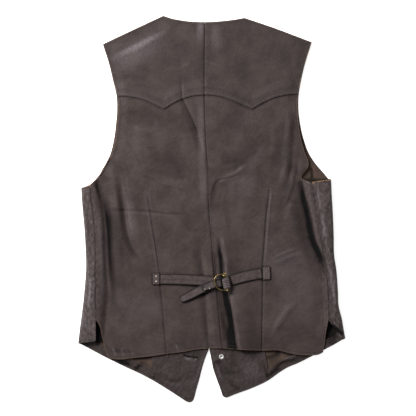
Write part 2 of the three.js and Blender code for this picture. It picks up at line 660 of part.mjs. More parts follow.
// A flat button with its stem under the right front, and the ring that holds it inside
function makeButtons() {
  const chamfer = 0.5;
  const ringFloor = BUTTON_LIFT + LEATHER + FACING + 2 * GAP;
  const stemTop = ringFloor + BACK_RING_THICK;
  const buttonProfile = [
    [0, 0], [BUTTON_RADIUS - chamfer, 0], [BUTTON_RADIUS, chamfer], [BUTTON_RADIUS, BUTTON_THICK - chamfer],
    [BUTTON_RADIUS - chamfer, BUTTON_THICK], [STEM_RADIUS, BUTTON_THICK], [STEM_RADIUS, stemTop], [0, stemTop],
  ];
  const ringProfile = [
    [STEM_HOLE, ringFloor], [BACK_RING_RADIUS, ringFloor], [BACK_RING_RADIUS - 0.2, ringFloor + 0.4],
    [BACK_RING_RADIUS - 0.8, stemTop], [STEM_HOLE + 0.5, stemTop], [STEM_HOLE, ringFloor + 0.4],
    [STEM_HOLE, ringFloor],
  ];
  const turned = (profile) => {
    const geometry = new THREE.LatheGeometry(profile.map(([r, z]) => new THREE.Vector2(r, z)), 10);
    return geometry.rotateX(Math.PI / 2);
  };
  buttonYs.forEach((y, i) => {
    add(`button_${i + 1}`, turned(buttonProfile), 0x2b2523, 0.35).position.set(BUTTON_X, y, 0);
    add(`button_ring_${i + 1}`, turned(ringProfile), 0xc9c9c6, 0.3, 1).position.set(BUTTON_X, y, 0);
  });
}

// A strap of leather over whatever lies under it, pulled taut between the high places
class Strap {
  constructor(rows, thickness, under) {
    this.thickness = thickness;
    this.stations = samplePath(rows, 4).map(([x, y, width]) => ({ x, y, width }));
    this.stations.forEach((station, i) => {
      const before = this.stations[Math.max(0, i - 1)];
      const after = this.stations[Math.min(this.stations.length - 1, i + 1)];
      const length = Math.hypot(after.x - before.x, after.y - before.y);
      station.sideX = -(after.y - before.y) / length;
      station.sideY = (after.x - before.x) / length;
      const reach = [-1, -0.6, -0.3, 0, 0.3, 0.6, 1].map((k) => k * (station.width / 2 + 0.5));
      const heights = [-3, 0, 3].flatMap((along) => reach.map((across) => under(
        station.x + station.sideX * across + station.sideY * along,
        station.y + station.sideY * across - station.sideX * along,
      )));
      station.z = Math.max(...heights);
    });
    for (let pass = 0; pass < 80; pass += 1) {
      for (let i = 1; i < this.stations.length - 1; i += 1) {
        const level = (this.stations[i - 1].z + this.stations[i + 1].z) / 2;
        this.stations[i].z = Math.max(this.stations[i].z, level);
      }
    }
    this.stations.forEach((station) => { station.z += GAP + 0.2; });
  }

  // The strap's top face under a point, or nothing there
  topAt(x, y) {
    const near = this.stations.reduce((best, s) => (
      Math.hypot(s.x - x, s.y - y) < Math.hypot(best.x - x, best.y - y) ? s : best));
    const across = Math.abs((x - near.x) * near.sideX + (y - near.y) * near.sideY);
    const along = Math.abs((x - near.x) * near.sideY - (y - near.y) * near.sideX);
    return across < near.width / 2 + 1 && along < 5 ? near.z + this.thickness : -Infinity;
  }

  geometry() {
    const bevel = Math.min(0.5, this.thickness / 3);
    return loft(this.stations.map(({ x, y, z, width, sideX, sideY }) => {
      const half = width / 2;
      const outline = [
        [-half, bevel], [-half + bevel, 0], [half - bevel, 0], [half, bevel],
        [half, this.thickness - bevel], [half - bevel, this.thickness], [-half + bevel, this.thickness],
        [-half, this.thickness - bevel],
      ];
      return outline.map(([across, up]) => new THREE.Vector3(x + sideX * across, y + sideY * across, z + up));
    }));
  }
}

// The belt at the waist: two straps sewn on by tabs, the buckle's chape and the free tail
function makeBelt() {
  // Columns are x, y, width
  const leftStrap = new Strap([[-98, -133.5, 20], [-60, -134, 20], [-20, -136, 20], [17.5, -139, 19.5]], BELT, backHeight);
  const rightStrap = new Strap([[36.5, -136, 20], [60, -129.5, 20.5], [80, -125, 20.5], [95.4, -122.8, 20.5]], BELT, backHeight);
  const overLeft = (x, y) => Math.max(backHeight(x, y), leftStrap.topAt(x, y));
  const tail = new Strap([[3, -146, 16], [-19, -152.5, 17.5], [-36, -161.5, 17], [-48, -167.5, 15.5], [-56, -171.5, 11],
    [-60, -173.5, 5]], BELT - 0.1, overLeft);
  const overTail = (x, y) => Math.max(overLeft(x, y), tail.topAt(x, y));
  const chape = new Strap([[18.5, -140.5, 16.5], [6, -142.5, 16], [-5, -146, 15], [-15.5, -149.5, 13.5]], BELT - 0.1, overTail);
  const leftTab = new Strap([[-113, -133, 22.5], [-106, -133, 22.5], [-98.6, -133, 22.5]], BELT + 0.3, backHeight);
  const rightTab = new Strap([[96.8, -122.4, 25.5], [104, -122.2, 25.5], [111, -122, 25.5]], BELT + 0.3, backHeight);
  add('belt_strap_left', leftStrap.geometry(), COLOUR.belt);
  add('belt_strap_right', rightStrap.geometry(), COLOUR.belt);
  add('belt_tail', tail.geometry(), COLOUR.belt);
  add('belt_chape', chape.geometry(), COLOUR.belt);
  add('belt_tab_left', leftTab.geometry(), COLOUR.belt);
  add('belt_tab_right', rightTab.geometry(), COLOUR.belt);
  return chape;
}

// A wire D with a curl at each end, the bar through the curls, and the leather round the bar
function makeBuckle(chape) {
  const frameZ = chape.topAt(6, -142.5) + GAP + WIRE_RADIUS + 0.1;
  const loopFloor = Math.max(backHeight(21, -142), backHeight(28, -142), backHeight(35, -142)) + GAP + 0.3;
  const loopThick = 5.2;
  const barZ = Math.max(loopFloor + loopThick / 2, frameZ - 1.5);
  const barEnds = [new THREE.Vector3(24.4, -124.5, barZ), new THREE.Vector3(30.6, -154.5, barZ)];
  // Columns are x, y, share of the way down from the frame's height to the bar's
  const wire = [
    [24.4, -125, 1], [14.5, -124.6, 0.5], [7.5, -129.2, 0.1], [5.2, -135, 0], [6.4, -141, 0],
    [8.8, -147.2, 0.1], [13, -151.6, 0.4], [20, -154, 0.8], [30.6, -154, 1],
  ].map(([x, y, share]) => new THREE.Vector3(x, y, mix(frameZ, barZ, share)));
  const section = new THREE.Shape(new THREE.EllipseCurve(0, 0, WIRE_RADIUS, WIRE_RADIUS).getPoints(8).slice(0, 8));
  const frame = new THREE.ExtrudeGeometry(section, {
    steps: 26, bevelEnabled: false, extrudePath: new THREE.CatmullRomCurve3(wire),
  });
  const direction = barEnds[1].clone().sub(barEnds[0]);
  const turn = new THREE.Quaternion().setFromUnitVectors(new THREE.Vector3(0, 1, 0), direction.clone().normalize());
  const curlProfile = Array.from({ length: 9 }, (_, i) => {
    const angle = (i / 8) * Math.PI * 2;
    return new THREE.Vector2(CURL_RADIUS + 0.1 + WIRE_RADIUS * Math.cos(angle), WIRE_RADIUS * Math.sin(angle));
  });
  const curls = barEnds.map((end, i) => {
    const curl = new THREE.LatheGeometry(curlProfile, 12);
    curl.applyQuaternion(turn);
    curl.translate(...end.clone().addScaledVector(direction, (i === 0 ? 1 : -1) * 0.02).toArray());
    return curl;
  });
  const bored = new THREE.CylinderGeometry(BAR_RADIUS + GAP, BAR_RADIUS + GAP, direction.length() * 1.4, 12);
  bored.applyQuaternion(turn);
  bored.translate(...barEnds[0].clone().add(barEnds[1]).multiplyScalar(0.5).toArray());
  const joined = [frame, ...curls].map(solidOf).reduce((sum, solid) => sum.add(solid));
  add('buckle_frame', geometryOf(joined.subtract(solidOf(bored))), 0xb39b62, 0.35, 1);

  const bar = new THREE.CylinderGeometry(BAR_RADIUS, BAR_RADIUS, direction.length() + 3, 12);
  const barMesh = add('buckle_bar', bar, 0xb39b62, 0.35, 1);
  barMesh.quaternion.copy(turn);
  barMesh.position.copy(barEnds[0].clone().add(barEnds[1]).multiplyScalar(0.5));

  // The leather round the bar, a flat roll with the bar's hole through it
  const outline = new THREE.Shape();
  outline.absellipse(0, 0, 7, loopThick / 2, 0, Math.PI * 2);
  const hole = new THREE.Path();
  hole.absellipse(0, 0, BAR_RADIUS + GAP, BAR_RADIUS + GAP, 0, Math.PI * 2);
  outline.holes.push(hole);
  const loopLength = 20;
  const loop = new THREE.ExtrudeGeometry(outline, { depth: loopLength, steps: 1, bevelEnabled: false, curveSegments: 10 });
  loop.translate(0, 0, -loopLength / 2);
  loop.rotateX(Math.PI / 2);
  const loopMesh = add('belt_bar_loop', loop, COLOUR.belt);
  loopMesh.rotation.z = Math.atan2(direction.x, -direction.y);
  loopMesh.position.set(27.8, -141.5, barZ);
}

makeHalf('left', LEFT_HALF);
makeHalf('right', RIGHT_HALF);
makeFronts();
makeButtons();
makeBuckle(makeBelt());

export default group;
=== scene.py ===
"""A dark brown leather vest, laid face down with its back up, dressed over its CAD frame.

Every length in the tables is in millimetres, in the frame of the CAD part: +X runs to the right
of the back, +Y towards the collar, and z = 0 is the surface that the vest lies on.
"""

from __future__ import annotations

import logging
import math
from collections.abc import Callable, Sequence
from dataclasses import dataclass, field
from enum import Enum

import bpy
import numpy as np
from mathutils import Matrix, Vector
from mathutils.kdtree import KDTree

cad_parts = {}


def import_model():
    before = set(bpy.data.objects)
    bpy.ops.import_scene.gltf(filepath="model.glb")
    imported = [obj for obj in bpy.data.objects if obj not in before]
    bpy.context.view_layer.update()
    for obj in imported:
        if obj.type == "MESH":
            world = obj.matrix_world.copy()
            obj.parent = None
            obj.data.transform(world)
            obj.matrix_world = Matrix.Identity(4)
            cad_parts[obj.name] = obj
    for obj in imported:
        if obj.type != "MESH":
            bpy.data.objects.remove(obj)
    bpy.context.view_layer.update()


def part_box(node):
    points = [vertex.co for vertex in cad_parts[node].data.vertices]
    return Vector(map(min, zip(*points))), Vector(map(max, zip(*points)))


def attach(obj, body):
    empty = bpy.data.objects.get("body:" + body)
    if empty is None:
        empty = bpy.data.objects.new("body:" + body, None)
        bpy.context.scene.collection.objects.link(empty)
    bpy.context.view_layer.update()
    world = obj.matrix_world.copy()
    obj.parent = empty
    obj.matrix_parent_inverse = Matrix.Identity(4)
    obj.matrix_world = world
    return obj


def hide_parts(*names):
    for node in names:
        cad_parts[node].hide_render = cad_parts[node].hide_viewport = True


LOG = logging.getLogger("vest")
MM = 0.001

# Leather thicknesses, the gap between layers, and the gap at a seam
LEATHER = 1.5
FACING = 1.1
BELT = 1.6
GAP = 0.3
SEAM = 0.4

# Height of the back's outer face, and the least that the layers under it allow
LIE = 6.8
LEAST_LIE = 2 * LEATHER + FACING + 2 * GAP + 0.4

# Half width of the half ellipse in which each front turns over at the side
TURN = 6.0

# The yoke laps over the panels
LAP = 9.0
LAP_SLOPE = 24.0

# Buttons under the right front, and buttonholes in the left
BUTTON_X = 18.5
BUTTON_YS = (-281.0, -169.0, -57.0, 55.0)
BUTTON_THICK = 1.6
BUTTON_RADIUS = 8.5
BUTTON_FLAT = 15.0
BUTTON_REACH = 30.0
BUTTON_LIFT = BUTTON_THICK + GAP + 0.1
HOLE_X = -39.5
HOLE_LENGTH = 27.0
HOLE_WIDTH = 1.8

# The photograph's frame is this wide at the back's height, and is centred here
FRAME_WIDTH = 790.4
FRAME_CENTRE = (-7.1, 1.7)

# The crumples at the sides: how high they stand, how strong the painted shade in their hollows and the
# painted highlight on their crests are, and their waves, each with how far it is squeezed along the seam, its
# length and its seed
SIDE_RISE = 0.8
SIDE_SHADING = 0.3
SIDE_WAVES = ((0.6, 8.0, 3), (0.7, 5.0, 12))

# Distances of the close columns beside a seam
CLOSE = (0.7, 1.6, 3.2, 5.4)

# How thick a stitch's bead is along its length, as shares of its radius
SWELL = (0.25, 0.85, 1.0, 0.85, 0.25)

# Points round a button, round a tack's head and round a buttonhole
TURNED_SIDES = 48
TACK_SIDES = 20
HOLE_SIDES = 24

# Shader inputs by number: of Mix in colour, whose result is COLOUR, and of Map Range
SHARE, FIRST, SECOND, COLOUR = 0, 6, 7, 2
VALUE, LOW, HIGH, TO_LOW, TO_HIGH = range(5)

# A noise texture spans only about a quarter of its range, so its relief is drawn this much deeper
NOISE_SPAN = 4

Array = np.ndarray
Height = Callable[[Array, Array], Array]
Rows = Sequence[Sequence[float]]

# Lines that run down the garment: rows of y, x
CENTRE = (
    (355, -13), (283, -14), (217, -14), (137, -12), (83, -8), (32, -7), (-21, -4),
    (-59, -1), (-112, 3), (-164, 10), (-207, 14), (-270, 20),
)
LEFT_ARMHOLE = (
    (313, -207), (275, -195), (245, -188), (215, -181), (184, -180), (161, -182), (131, -186),
    (101, -194), (85, -202), (70, -210), (55, -222), (43, -235), (38, -241),
)
RIGHT_ARMHOLE = (
    (317, 190), (275, 177), (245, 170), (215, 165), (184, 165), (161, 168), (131, 175),
    (101, 187), (85, 198), (70, 211), (58, 221),
)
LEFT_BACK_EDGE = (
    (313, -207), (275, -195), (245, -187.5), (215, -179), (184, -177), (161, -179), (131, -183),
    (101, -191), (85, -199), (70, -207), (55, -220), (46, -230), (21, -229), (-2, -226), (-37, -222),
    (-101, -221), (-211, -220), (-218, -215), (-242, -208), (-266, -203), (-284, -196),
)
RIGHT_BACK_EDGE = (
    (317, 190), (275, 177), (245, 169), (215, 163.5), (184, 163), (161, 165), (131, 170), (104, 178),
    (88, 184), (79, 182), (70, 176), (62, 170.5), (57, 171.5), (53, 180), (49, 191), (17, 194), (-17, 200),
    (-61, 207), (-101, 214), (-145, 220), (-209, 222), (-234, 217), (-259, 214), (-271, 212),
)
LEFT_SIDE_SEAM = (
    (46, -230), (21, -229), (-2, -226), (-37, -222), (-101, -221), (-211, -220), (-256, -220),
)
RIGHT_SIDE_SEAM = (
    (51, 191), (17, 194), (-17, 200), (-61, 207), (-101, 214), (-145, 220), (-209, 222), (-240, 224),
)
LEFT_FOLD = (
    (36, -248), (17, -247), (-6, -245), (-40, -242), (-74, -240), (-112, -239), (-154, -242),
    (-192, -246), (-222, -250), (-256, -254),
)
RIGHT_FOLD = (
    (58, 227), (32, 228), (-2, 230), (-51, 232), (-89, 233), (-116, 237), (-154, 240),
    (-188, 242), (-207, 247), (-230, 251), (-246, 254),
)
LEFT_OPENING = (
    (367, -92), (220, -47), (75, -5), (-266, -5), (-280, -11), (-298, -17), (-325, -24),
    (-348, -30.5), (-356, -32.5), (-362, -34.5), (-367, -37),
)
RIGHT_OPENING = (
    (363, 62), (220, 31), (75, -4), (-266, -4), (-283, -1), (-304, 3), (-325, 10), (-341, 16),
    (-350, 19), (-360, 22),
)
LEFT_FACING_EDGE = ((367, -150), (200, -125), (75, -116), (-323, -114), (-367, -114))
RIGHT_FACING_EDGE = ((367, 128), (200, 108), (75, 100), (-268, 100), (-290, 104), (-367, 114))
LEFT_DART = (
    (230, -122), (120, -124), (51, -125), (30, -124), (-21, -115), (-69, -107), (-117, -100),
    (-146, -98), (-207, -92), (-286, -86),
)
RIGHT_DART = (
    (230, 112), (120, 110), (45, 109), (34, 110), (-2, 105), (-37, 102), (-80, 99), (-108, 97),
    (-154, 97), (-207, 96), (-275, 95),
)
LEFT_TROUGH = (
    (230, -150), (140, -163), (53, -214), (25, -207), (-8, -200), (-37, -198), (-114, -196),
    (-154, -193), (-234, -192), (-286, -176),
)
RIGHT_TROUGH = (
    (230, 142), (140, 150), (58, 166), (25, 173), (-8, 181), (-37, 187), (-61, 192), (-86, 203),
    (-117, 209), (-154, 210), (-209, 207), (-275, 190),
)
LEFT_POINT = ((367, -92), (190, -91.5), (60, -74), (-100, -58), (-270, -45))
RIGHT_POINT = ((363, 62), (190, 76), (60, 66), (-100, 62), (-270, 76))
PLEAT_FOOT = (
    (230, 12), (120, 6), (-20, 6), (-74, 15), (-101, 18), (-125, 20), (-160, 27), (-207, 35), (-270, 43),
)
PLEAT_CREST = (
    (230, 33), (120, 23), (-20, 18), (-74, 24), (-101, 29), (-125, 34), (-160, 38), (-207, 45), (-270, 54),
)

# Lines that run across it: rows of x, y
YOKE_SEAM = (
    (-184, 215), (-159, 214), (-134, 209), (-114, 201), (-91.5, 190), (-68, 204), (-41, 214), (-14, 217),
    (16, 214), (47, 203), (76, 190), (99, 203), (120, 212), (143, 217), (166, 219),
)
COLLAR = (
    (-207, 313), (-150, 340), (-92, 367), (-77, 362), (-57, 358), (-13, 355), (31, 358), (46, 360),
    (62, 363), (107, 348), (190, 317),
)
BACK_HEM = (
    (-220, -282), (-196, -284), (-174, -286), (-148, -283), (-117, -280), (-83, -275), (-51, -271),
    (-30, -267), (-6, -265), (23, -265), (50, -267), (99, -269), (128, -269), (151, -275),
    (180, -278), (207, -275), (212, -272),
)
LEFT_FRONT_HEM = (
    (-254, -254), (-233, -265), (-199, -283), (-160, -302), (-136, -313), (-117, -323), (-79, -346),
    (-53, -363), (-47, -366.6), (-42, -367.6), (-38, -366.4), (-34, -362.5),
)
RIGHT_FRONT_HEM = (
    (17, -350), (21, -355.5), (26.5, -358.6), (32, -357.6), (39, -354.6), (78, -340), (109, -325),
    (130, -310), (145, -301), (162, -294), (190, -280), (219, -265), (234, -257), (254, -245),
)


def mix(a: Array | float, b: Array | float, share: Array | float) -> Array | float:
    """Return the value at a share of the way from a to b."""
    return a + (b - a) * share


def ease(value: Array) -> Array:
    """Return 0 to 1 with a soft start and end."""
    t = np.clip(value, 0.0, 1.0)
    return t * t * (3 - 2 * t)


class Line:
    """A smooth function through a short table, straight beyond both of its ends."""

    def __init__(self, rows: Rows, corners: Sequence[float] = ()) -> None:
        """Work out the slope at each row.

        Args:
            rows: pairs of key and value, in any order.
            corners: keys at which each side keeps its own slope.
        """
        table = np.array(sorted(rows), dtype=float)
        self.keys, self.values = table[:, 0], table[:, 1]
        widths = np.diff(self.keys)
        steps = np.diff(self.values) / widths
        middle = (steps[:-1] * widths[1:] + steps[1:] * widths[:-1]) / (widths[:-1] + widths[1:])
        self.arriving = np.concatenate(([steps[0]], middle, [steps[-1]]))
        self.leaving = self.arriving.copy()
        for key in corners:
            i = int(np.flatnonzero(self.keys == key)[0])
            self.arriving[i] = steps[i - 1]
            self.leaving[i] = steps[i]

    def __call__(self, key: Array) -> Array:
        """Read the function.

        Args:
            key: where to read it.

        Returns:
            The value at each key.
        """
        key = np.asarray(key, dtype=float)
        i = np.clip(np.searchsorted(self.keys, key) - 1, 0, len(self.keys) - 2)
        width = self.keys[i + 1] - self.keys[i]
        t = np.clip((key - self.keys[i]) / width, 0.0, 1.0)
        level = (2 * t**3 - 3 * t**2 + 1) * self.values[i] + (3 * t**2 - 2 * t**3) * self.values[i + 1]
        bend = (t**3 - 2 * t**2 + t) * self.leaving[i] + (t**3 - t**2) * self.arriving[i + 1]
        below = np.minimum(key - self.keys[0], 0.0) * self.leaving[0]
        above = np.maximum(key - self.keys[-1], 0.0) * self.arriving[-1]
        return level + bend * width + below + above


# The lines that several pieces share
CENTRE_SEAM = Line(CENTRE)
COLLAR_EDGE = Line(COLLAR, (-92, 62))
YOKE_EDGE = Line(YOKE_SEAM, (-91.5, 76))
HEM_EDGE = Line(BACK_HEM)
LEFT_EDGE = Line(LEFT_BACK_EDGE, (46, -211))
RIGHT_EDGE = Line(RIGHT_BACK_EDGE, (57, 49, -209))
LEFT_SIDE = Line(LEFT_SIDE_SEAM)
RIGHT_SIDE = Line(RIGHT_SIDE_SEAM)
OPENING_CORNERS = (75, -266)


def band(distance: Array, middle: float, width: float) -> Array:
    """Return a soft band: 1 at its middle, dying away over its width."""
    return np.exp(-((distance - middle) / width) ** 2)


def sample_path(rows: Rows, per_span: int) -> Array:
    """Lay a smooth path through rows of numbers.

    Args:
        rows: x, y and whatever else changes along the path.
        per_span: how many points there are from one row to the next.

    Returns:
        The points, with every column of the rows carried along.
    """
    table = np.array(rows, dtype=float)
    padded = np.concatenate((table[:1], table, table[-1:]))
    t = (np.arange(per_span) / per_span)[:, None]
    spans = []
    for before, here, after, beyond in zip(padded, padded[1:], padded[2:], padded[3:]):
        linear = (after - before) * t
        square = (2 * before - 5 * here + 4 * after - beyond) * t**2
        cube = (3 * here - before - 3 * after + beyond) * t**3
        spans.append(here + (linear + square + cube) / 2)
    return np.concatenate((*spans, table[-1:]))


def run_lengths(points: Array) -> Array:
    """Return the length of a path from its start to each of its points."""
    steps = np.linalg.norm(np.diff(points[:, :2], axis=0), axis=1)
    return np.concatenate(([0.0], np.cumsum(steps)))


@dataclass(frozen=True)
class Fold:
    """A fold or crease: a swell over a path, tapered at its ends.

    The path runs down the garment, west is the side towards -X and east the side towards +X.
    start and end are the shares of the path over which the fold grows and dies away.
    """

    name: str
    rise: float
    flat: float
    west: float
    east: float
    path: Rows
    start: float = 0.3
    end: float = 0.3

    def strength(self, x: Array, y: Array) -> Array:
        """Work out how much of the fold is felt.

        Args:
            x, y: where to read it.

        Returns:
            A share from 0 to 1 at each point.
        """
        points = sample_path(self.path, 6)
        lengths = run_lengths(points)
        reach = self.flat + max(self.west, self.east)
        low, high = points.min(axis=0) - reach, points.max(axis=0) + reach
        near = (x > low[0]) & (x < high[0]) & (y > low[1]) & (y < high[1])
        felt = np.zeros(x.shape)
        if not near.any():
            return felt
        place = np.stack((x[near], y[near]), axis=1)
        best = np.full(len(place), np.inf)
        side = np.ones(len(place))
        share = np.zeros(len(place))
        for i, (a, b) in enumerate(zip(points, points[1:])):
            span = b - a
            away = place - a
            t = np.clip(away @ span / (span @ span), 0.0, 1.0)
            distance = np.linalg.norm(away - t[:, None] * span, axis=1)
            closer = distance < best
            best[closer] = distance[closer]
            turned = span[0] * away[:, 1] - span[1] * away[:, 0]
            side[closer] = np.sign(turned[closer])
            share[closer] = mix(lengths[i], lengths[i + 1], t[closer]) / lengths[-1]
        q = np.clip((best - self.flat) / np.where(side > 0, self.east, self.west), 0.0, 1.0)
        grow = ease(share / self.start) if self.start > 0 else 1.0
        fade = ease((1 - share) / self.end) if self.end > 0 else 1.0
        felt[near] = grow * fade * (1 - q * q) ** 2
        return felt


def folds(*rows: Sequence) -> tuple[Fold, ...]:
    """Return a fold for each row of a table, whose columns are the fold's fields in order."""
    return tuple(Fold(*row) for row in rows)


# The back's folds, as the solids have them
FOLDS = folds(
    ("left side roll", 5.6, 12, 40, 14,
     ((-241, 64), (-236, 30), (-231, 0), (-227, -40), (-225, -100), (-225, -160), (-227, -215),
      (-232, -270)), 0, 0),
    ("left trough", -3, 2, 8, 26,
     ((-218, 58), (-207, 25), (-200, -8), (-198, -37), (-198, -74), (-196, -114), (-193, -154),
      (-197, -240)), 0.05, 0.35),
    ("left band beside the trough", 2.4, 0, 16, 14,
     ((-203, 112), (-192, 78), (-184, 55), (-181, 17), (-181, -60), (-178, -180)), 0.2, 0.4),
    ("left inner valley", -1.8, 0, 9, 7,
     ((-182, 60), (-174, 32), (-168, -2), (-163, -37), (-159, -61), (-152, -77), (-138, -92)), 0.2, 0.3),
    ("left inner ridge", 3, 0, 8, 34,
     ((-170, 66), (-161, 20), (-154, -21), (-150, -55), (-141, -88)), 0.3, 0.35),
    ("left chest swell", 2, 8, 30, 30, ((-58, 122), (-105, 128), (-155, 128)), 0.35, 0.35),
    ("left hollow under the yoke", -1.5, 3, 16, 20, ((-92, 160), (-132, 170), (-174, 168))),
    ("left hollow over the dart", -1.6, 4, 22, 26, ((-30, 55), (-70, 68), (-120, 96)), 0.35, 0.35),
    ("long crease", -1.8, 0, 12, 5,
     ((-57, 250), (-57.5, 220), (-54, 205), (-41, 178), (-25, 137), (-13, 95)), 0.4, 0.2),
    ("valley left of the centre", -1.6, 0, 16, 6,
     ((-25, -36), (-21, -95), (-14, -154), (-10, -207), (-6, -280)), 0.3, 0),
    ("ridge left of the pleat", 2.4, 4, 9, 15,
     ((-8, -50), (-4, -110), (2, -160), (8, -207), (15, -280)), 0.35, 0),
    ("pleat valley", -9, 2.5, 15, 8,
     ((8, -36), (14, -74), (18, -101), (20, -125), (27, -160), (35, -207), (44, -280)), 0.35, 0),
    ("pleat crest above the belt", 5, 1, 8, 28, ((15, -38), (24, -74), (30, -100), (34, -132)), 0.45, 0.4),
    ("pleat crest below the belt", 9, 1.5, 9, 42, ((37, -136), (42, -165), (50, -207), (59, -280)), 0.4, 0),
    ("hollow right of the centre", -1.5, 2, 14, 14, ((58, 86), (32, 76), (10, 66))),
    ("ridge right of the centre", 2.2, 0, 9, 16,
     ((74, 84), (52, 71), (34, 61), (17, 50), (6, 30)), 0.25, 0.3),
    ("right swell under the yoke", 1.8, 8, 28, 28, ((125, 160), (80, 150), (35, 158)), 0.35, 0.35),
    ("right valley by the armhole", -1.8, 1, 12, 12,
     ((164, 112), (157, 64), (153, 44), (148, 25), (137, 0), (127, -40)), 0.3, 0.4),
    ("right ridge by the armhole", 2.6, 0, 11, 10,
     ((150, 190), (146, 120), (140, 70), (128, 22)), 0.3, 0.35),
    ("right inner valley", -1.5, 0, 14, 10, ((135, 165), (132, 131), (126, 97), (114, 62))),
    ("right trough", -3, 1.5, 26, 7,
     ((166, 64), (173, 25), (181, -8), (187, -37), (192, -61), (203, -86), (209, -117),
      (212, -170)), 0, 0.35),
    ("right side roll", 6, 18, 9, 40,
     ((203, 66), (205, 25), (211, -8), (216, -37), (221, -61), (229, -86), (235, -117), (238, -160),
      (241, -210), (246, -255)), 0, 0),
    ("right crease at the waist", 1.6, 0, 6, 16, ((168, -74), (145, -84), (112, -98))),
    ("right drag line over the hem", 1.8, 0, 11, 11, ((160, -172), (135, -205), (110, -246))),
    ("hem settling", -1.4, 0, 34, 34,
     ((-225, -290), (-117, -284), (-6, -270), (99, -274), (230, -276)), 0, 0),
    ("left shoulder edge", -2, 0, 28, 28, ((-215, 309), (-92, 367)), 0, 0),
    ("right shoulder edge", -2, 0, 28, 28, ((62, 363), (107, 348), (198, 314)), 0, 0),
    ("left armhole edge", -1.6, 0, 20, 20,
     ((-207, 313), (-188, 245), (-179, 190), (-183, 131), (-199, 85), (-215, 62)), 0.1, 0.1),
    ("right armhole edge", -1.6, 0, 20, 20,
     ((190, 317), (170, 245), (163, 190), (170, 131), (184, 88), (178, 70)), 0.1, 0.1),
    ("left dart stitching", -0.9, 0, 3, 3,
     ((-125, 51), (-124, 30), (-115, -21), (-107, -69), (-100, -117), (-98, -146), (-92, -207),
      (-86, -286)), 0.1, 0),
    ("right dart stitching", -0.9, 0, 3, 3,
     ((109, 45), (110, 34), (105, -2), (102, -37), (99, -80), (97, -108), (97, -154), (96, -207),
      (95, -275)), 0.1, 0),
    ("centre seam", -0.8, 0, 3, 3, tuple((x, y) for y, x in CENTRE), 0, 0),
)

# Fine creases that only the leather's face has
CREASES = folds(
    ("line in the long crease", -0.8, 0, 3, 2,
     ((-57, 262), (-57.5, 214), (-54, 203), (-41, 178), (-30, 152), (-26, 137)), 0.3, 0.15),
    ("cross crease left", -0.25, 0, 3, 3, ((-30, -4), (-80, -10), (-130, -4), (-192, -2))),
    ("drag crease left", -0.3, 0, 4, 5, ((-112, 49), (-84, 42), (-56, 35), (-19, 19))),
    ("drag crease by the centre", -0.3, 0, 3, 4, ((-49, -37), (-34, -41), (-19, -42))),
    ("cross crease right", -0.25, 0, 4, 4, ((33, -14), (58, -19), (86, -23))),
    ("waist crease right", -0.4, 0, 3, 4, ((172, -75), (145, -84), (112, -98)), 0.25, 0.25),
    ("crease at the armhole right", -0.5, 0, 3, 3,
     ((165, 108), (158, 60), (152, 30), (140, 5), (126, -12)), 0.25, 0.3),
    ("crease at the armhole left", -0.35, 0, 3, 3, ((-176, 96), (-168, 70), (-163, 44), (-158, 10))),
    ("hook beside the centre", -0.5, 0, 4, 3, ((62, 70), (38, 60), (16, 55), (6, 48), (1, 30)), 0.2, 0.3),
    ("crease under the chest", -0.3, 0, 6, 4, ((-112, 76), (-76, 60), (-50, 60), (-32, 74))),
)


def paint_crease_lines(count: int, seed: int) -> tuple[Fold, ...]:
    """Strew short fine lines over the back: painted shade and painted highlight for the fine creases that
    leather gets where it has been bent and pressed.

    Args:
        count: how many lines.
        seed: the seed of their places, so that each run gives the same ones.

    Returns:
        One fold for each line.
    """
    draw = np.random.default_rng(seed)
    reach, foot, top = 200, -268, 300
    tilt, tilt_spread = 0.15, 0.5
    shortest, longest, bend = 8, 26, 4
    rises = (-0.18, -0.13, 0.06, 0.09)
    lines = []
    for i in range(count):
        x, y = draw.uniform(-reach, reach), draw.uniform(foot, top)
        lean = draw.normal(tilt * np.sign(x), tilt_spread)
        half = draw.uniform(shortest, longest)
        step = half * np.array((np.cos(lean), np.sin(lean)))
        sag = draw.uniform(-bend, bend)
        path = ((x - step[0], y - step[1]), (x, y + sag), (x + step[0], y + step[1]))
        lines.append(Fold(f"fine line {i}", draw.choice(rises), 0, 2.4, 3.2, path, 0.45, 0.45))
    return tuple(lines)


PAINTED_CREASE_LINES = paint_crease_lines(count=110, seed=5)
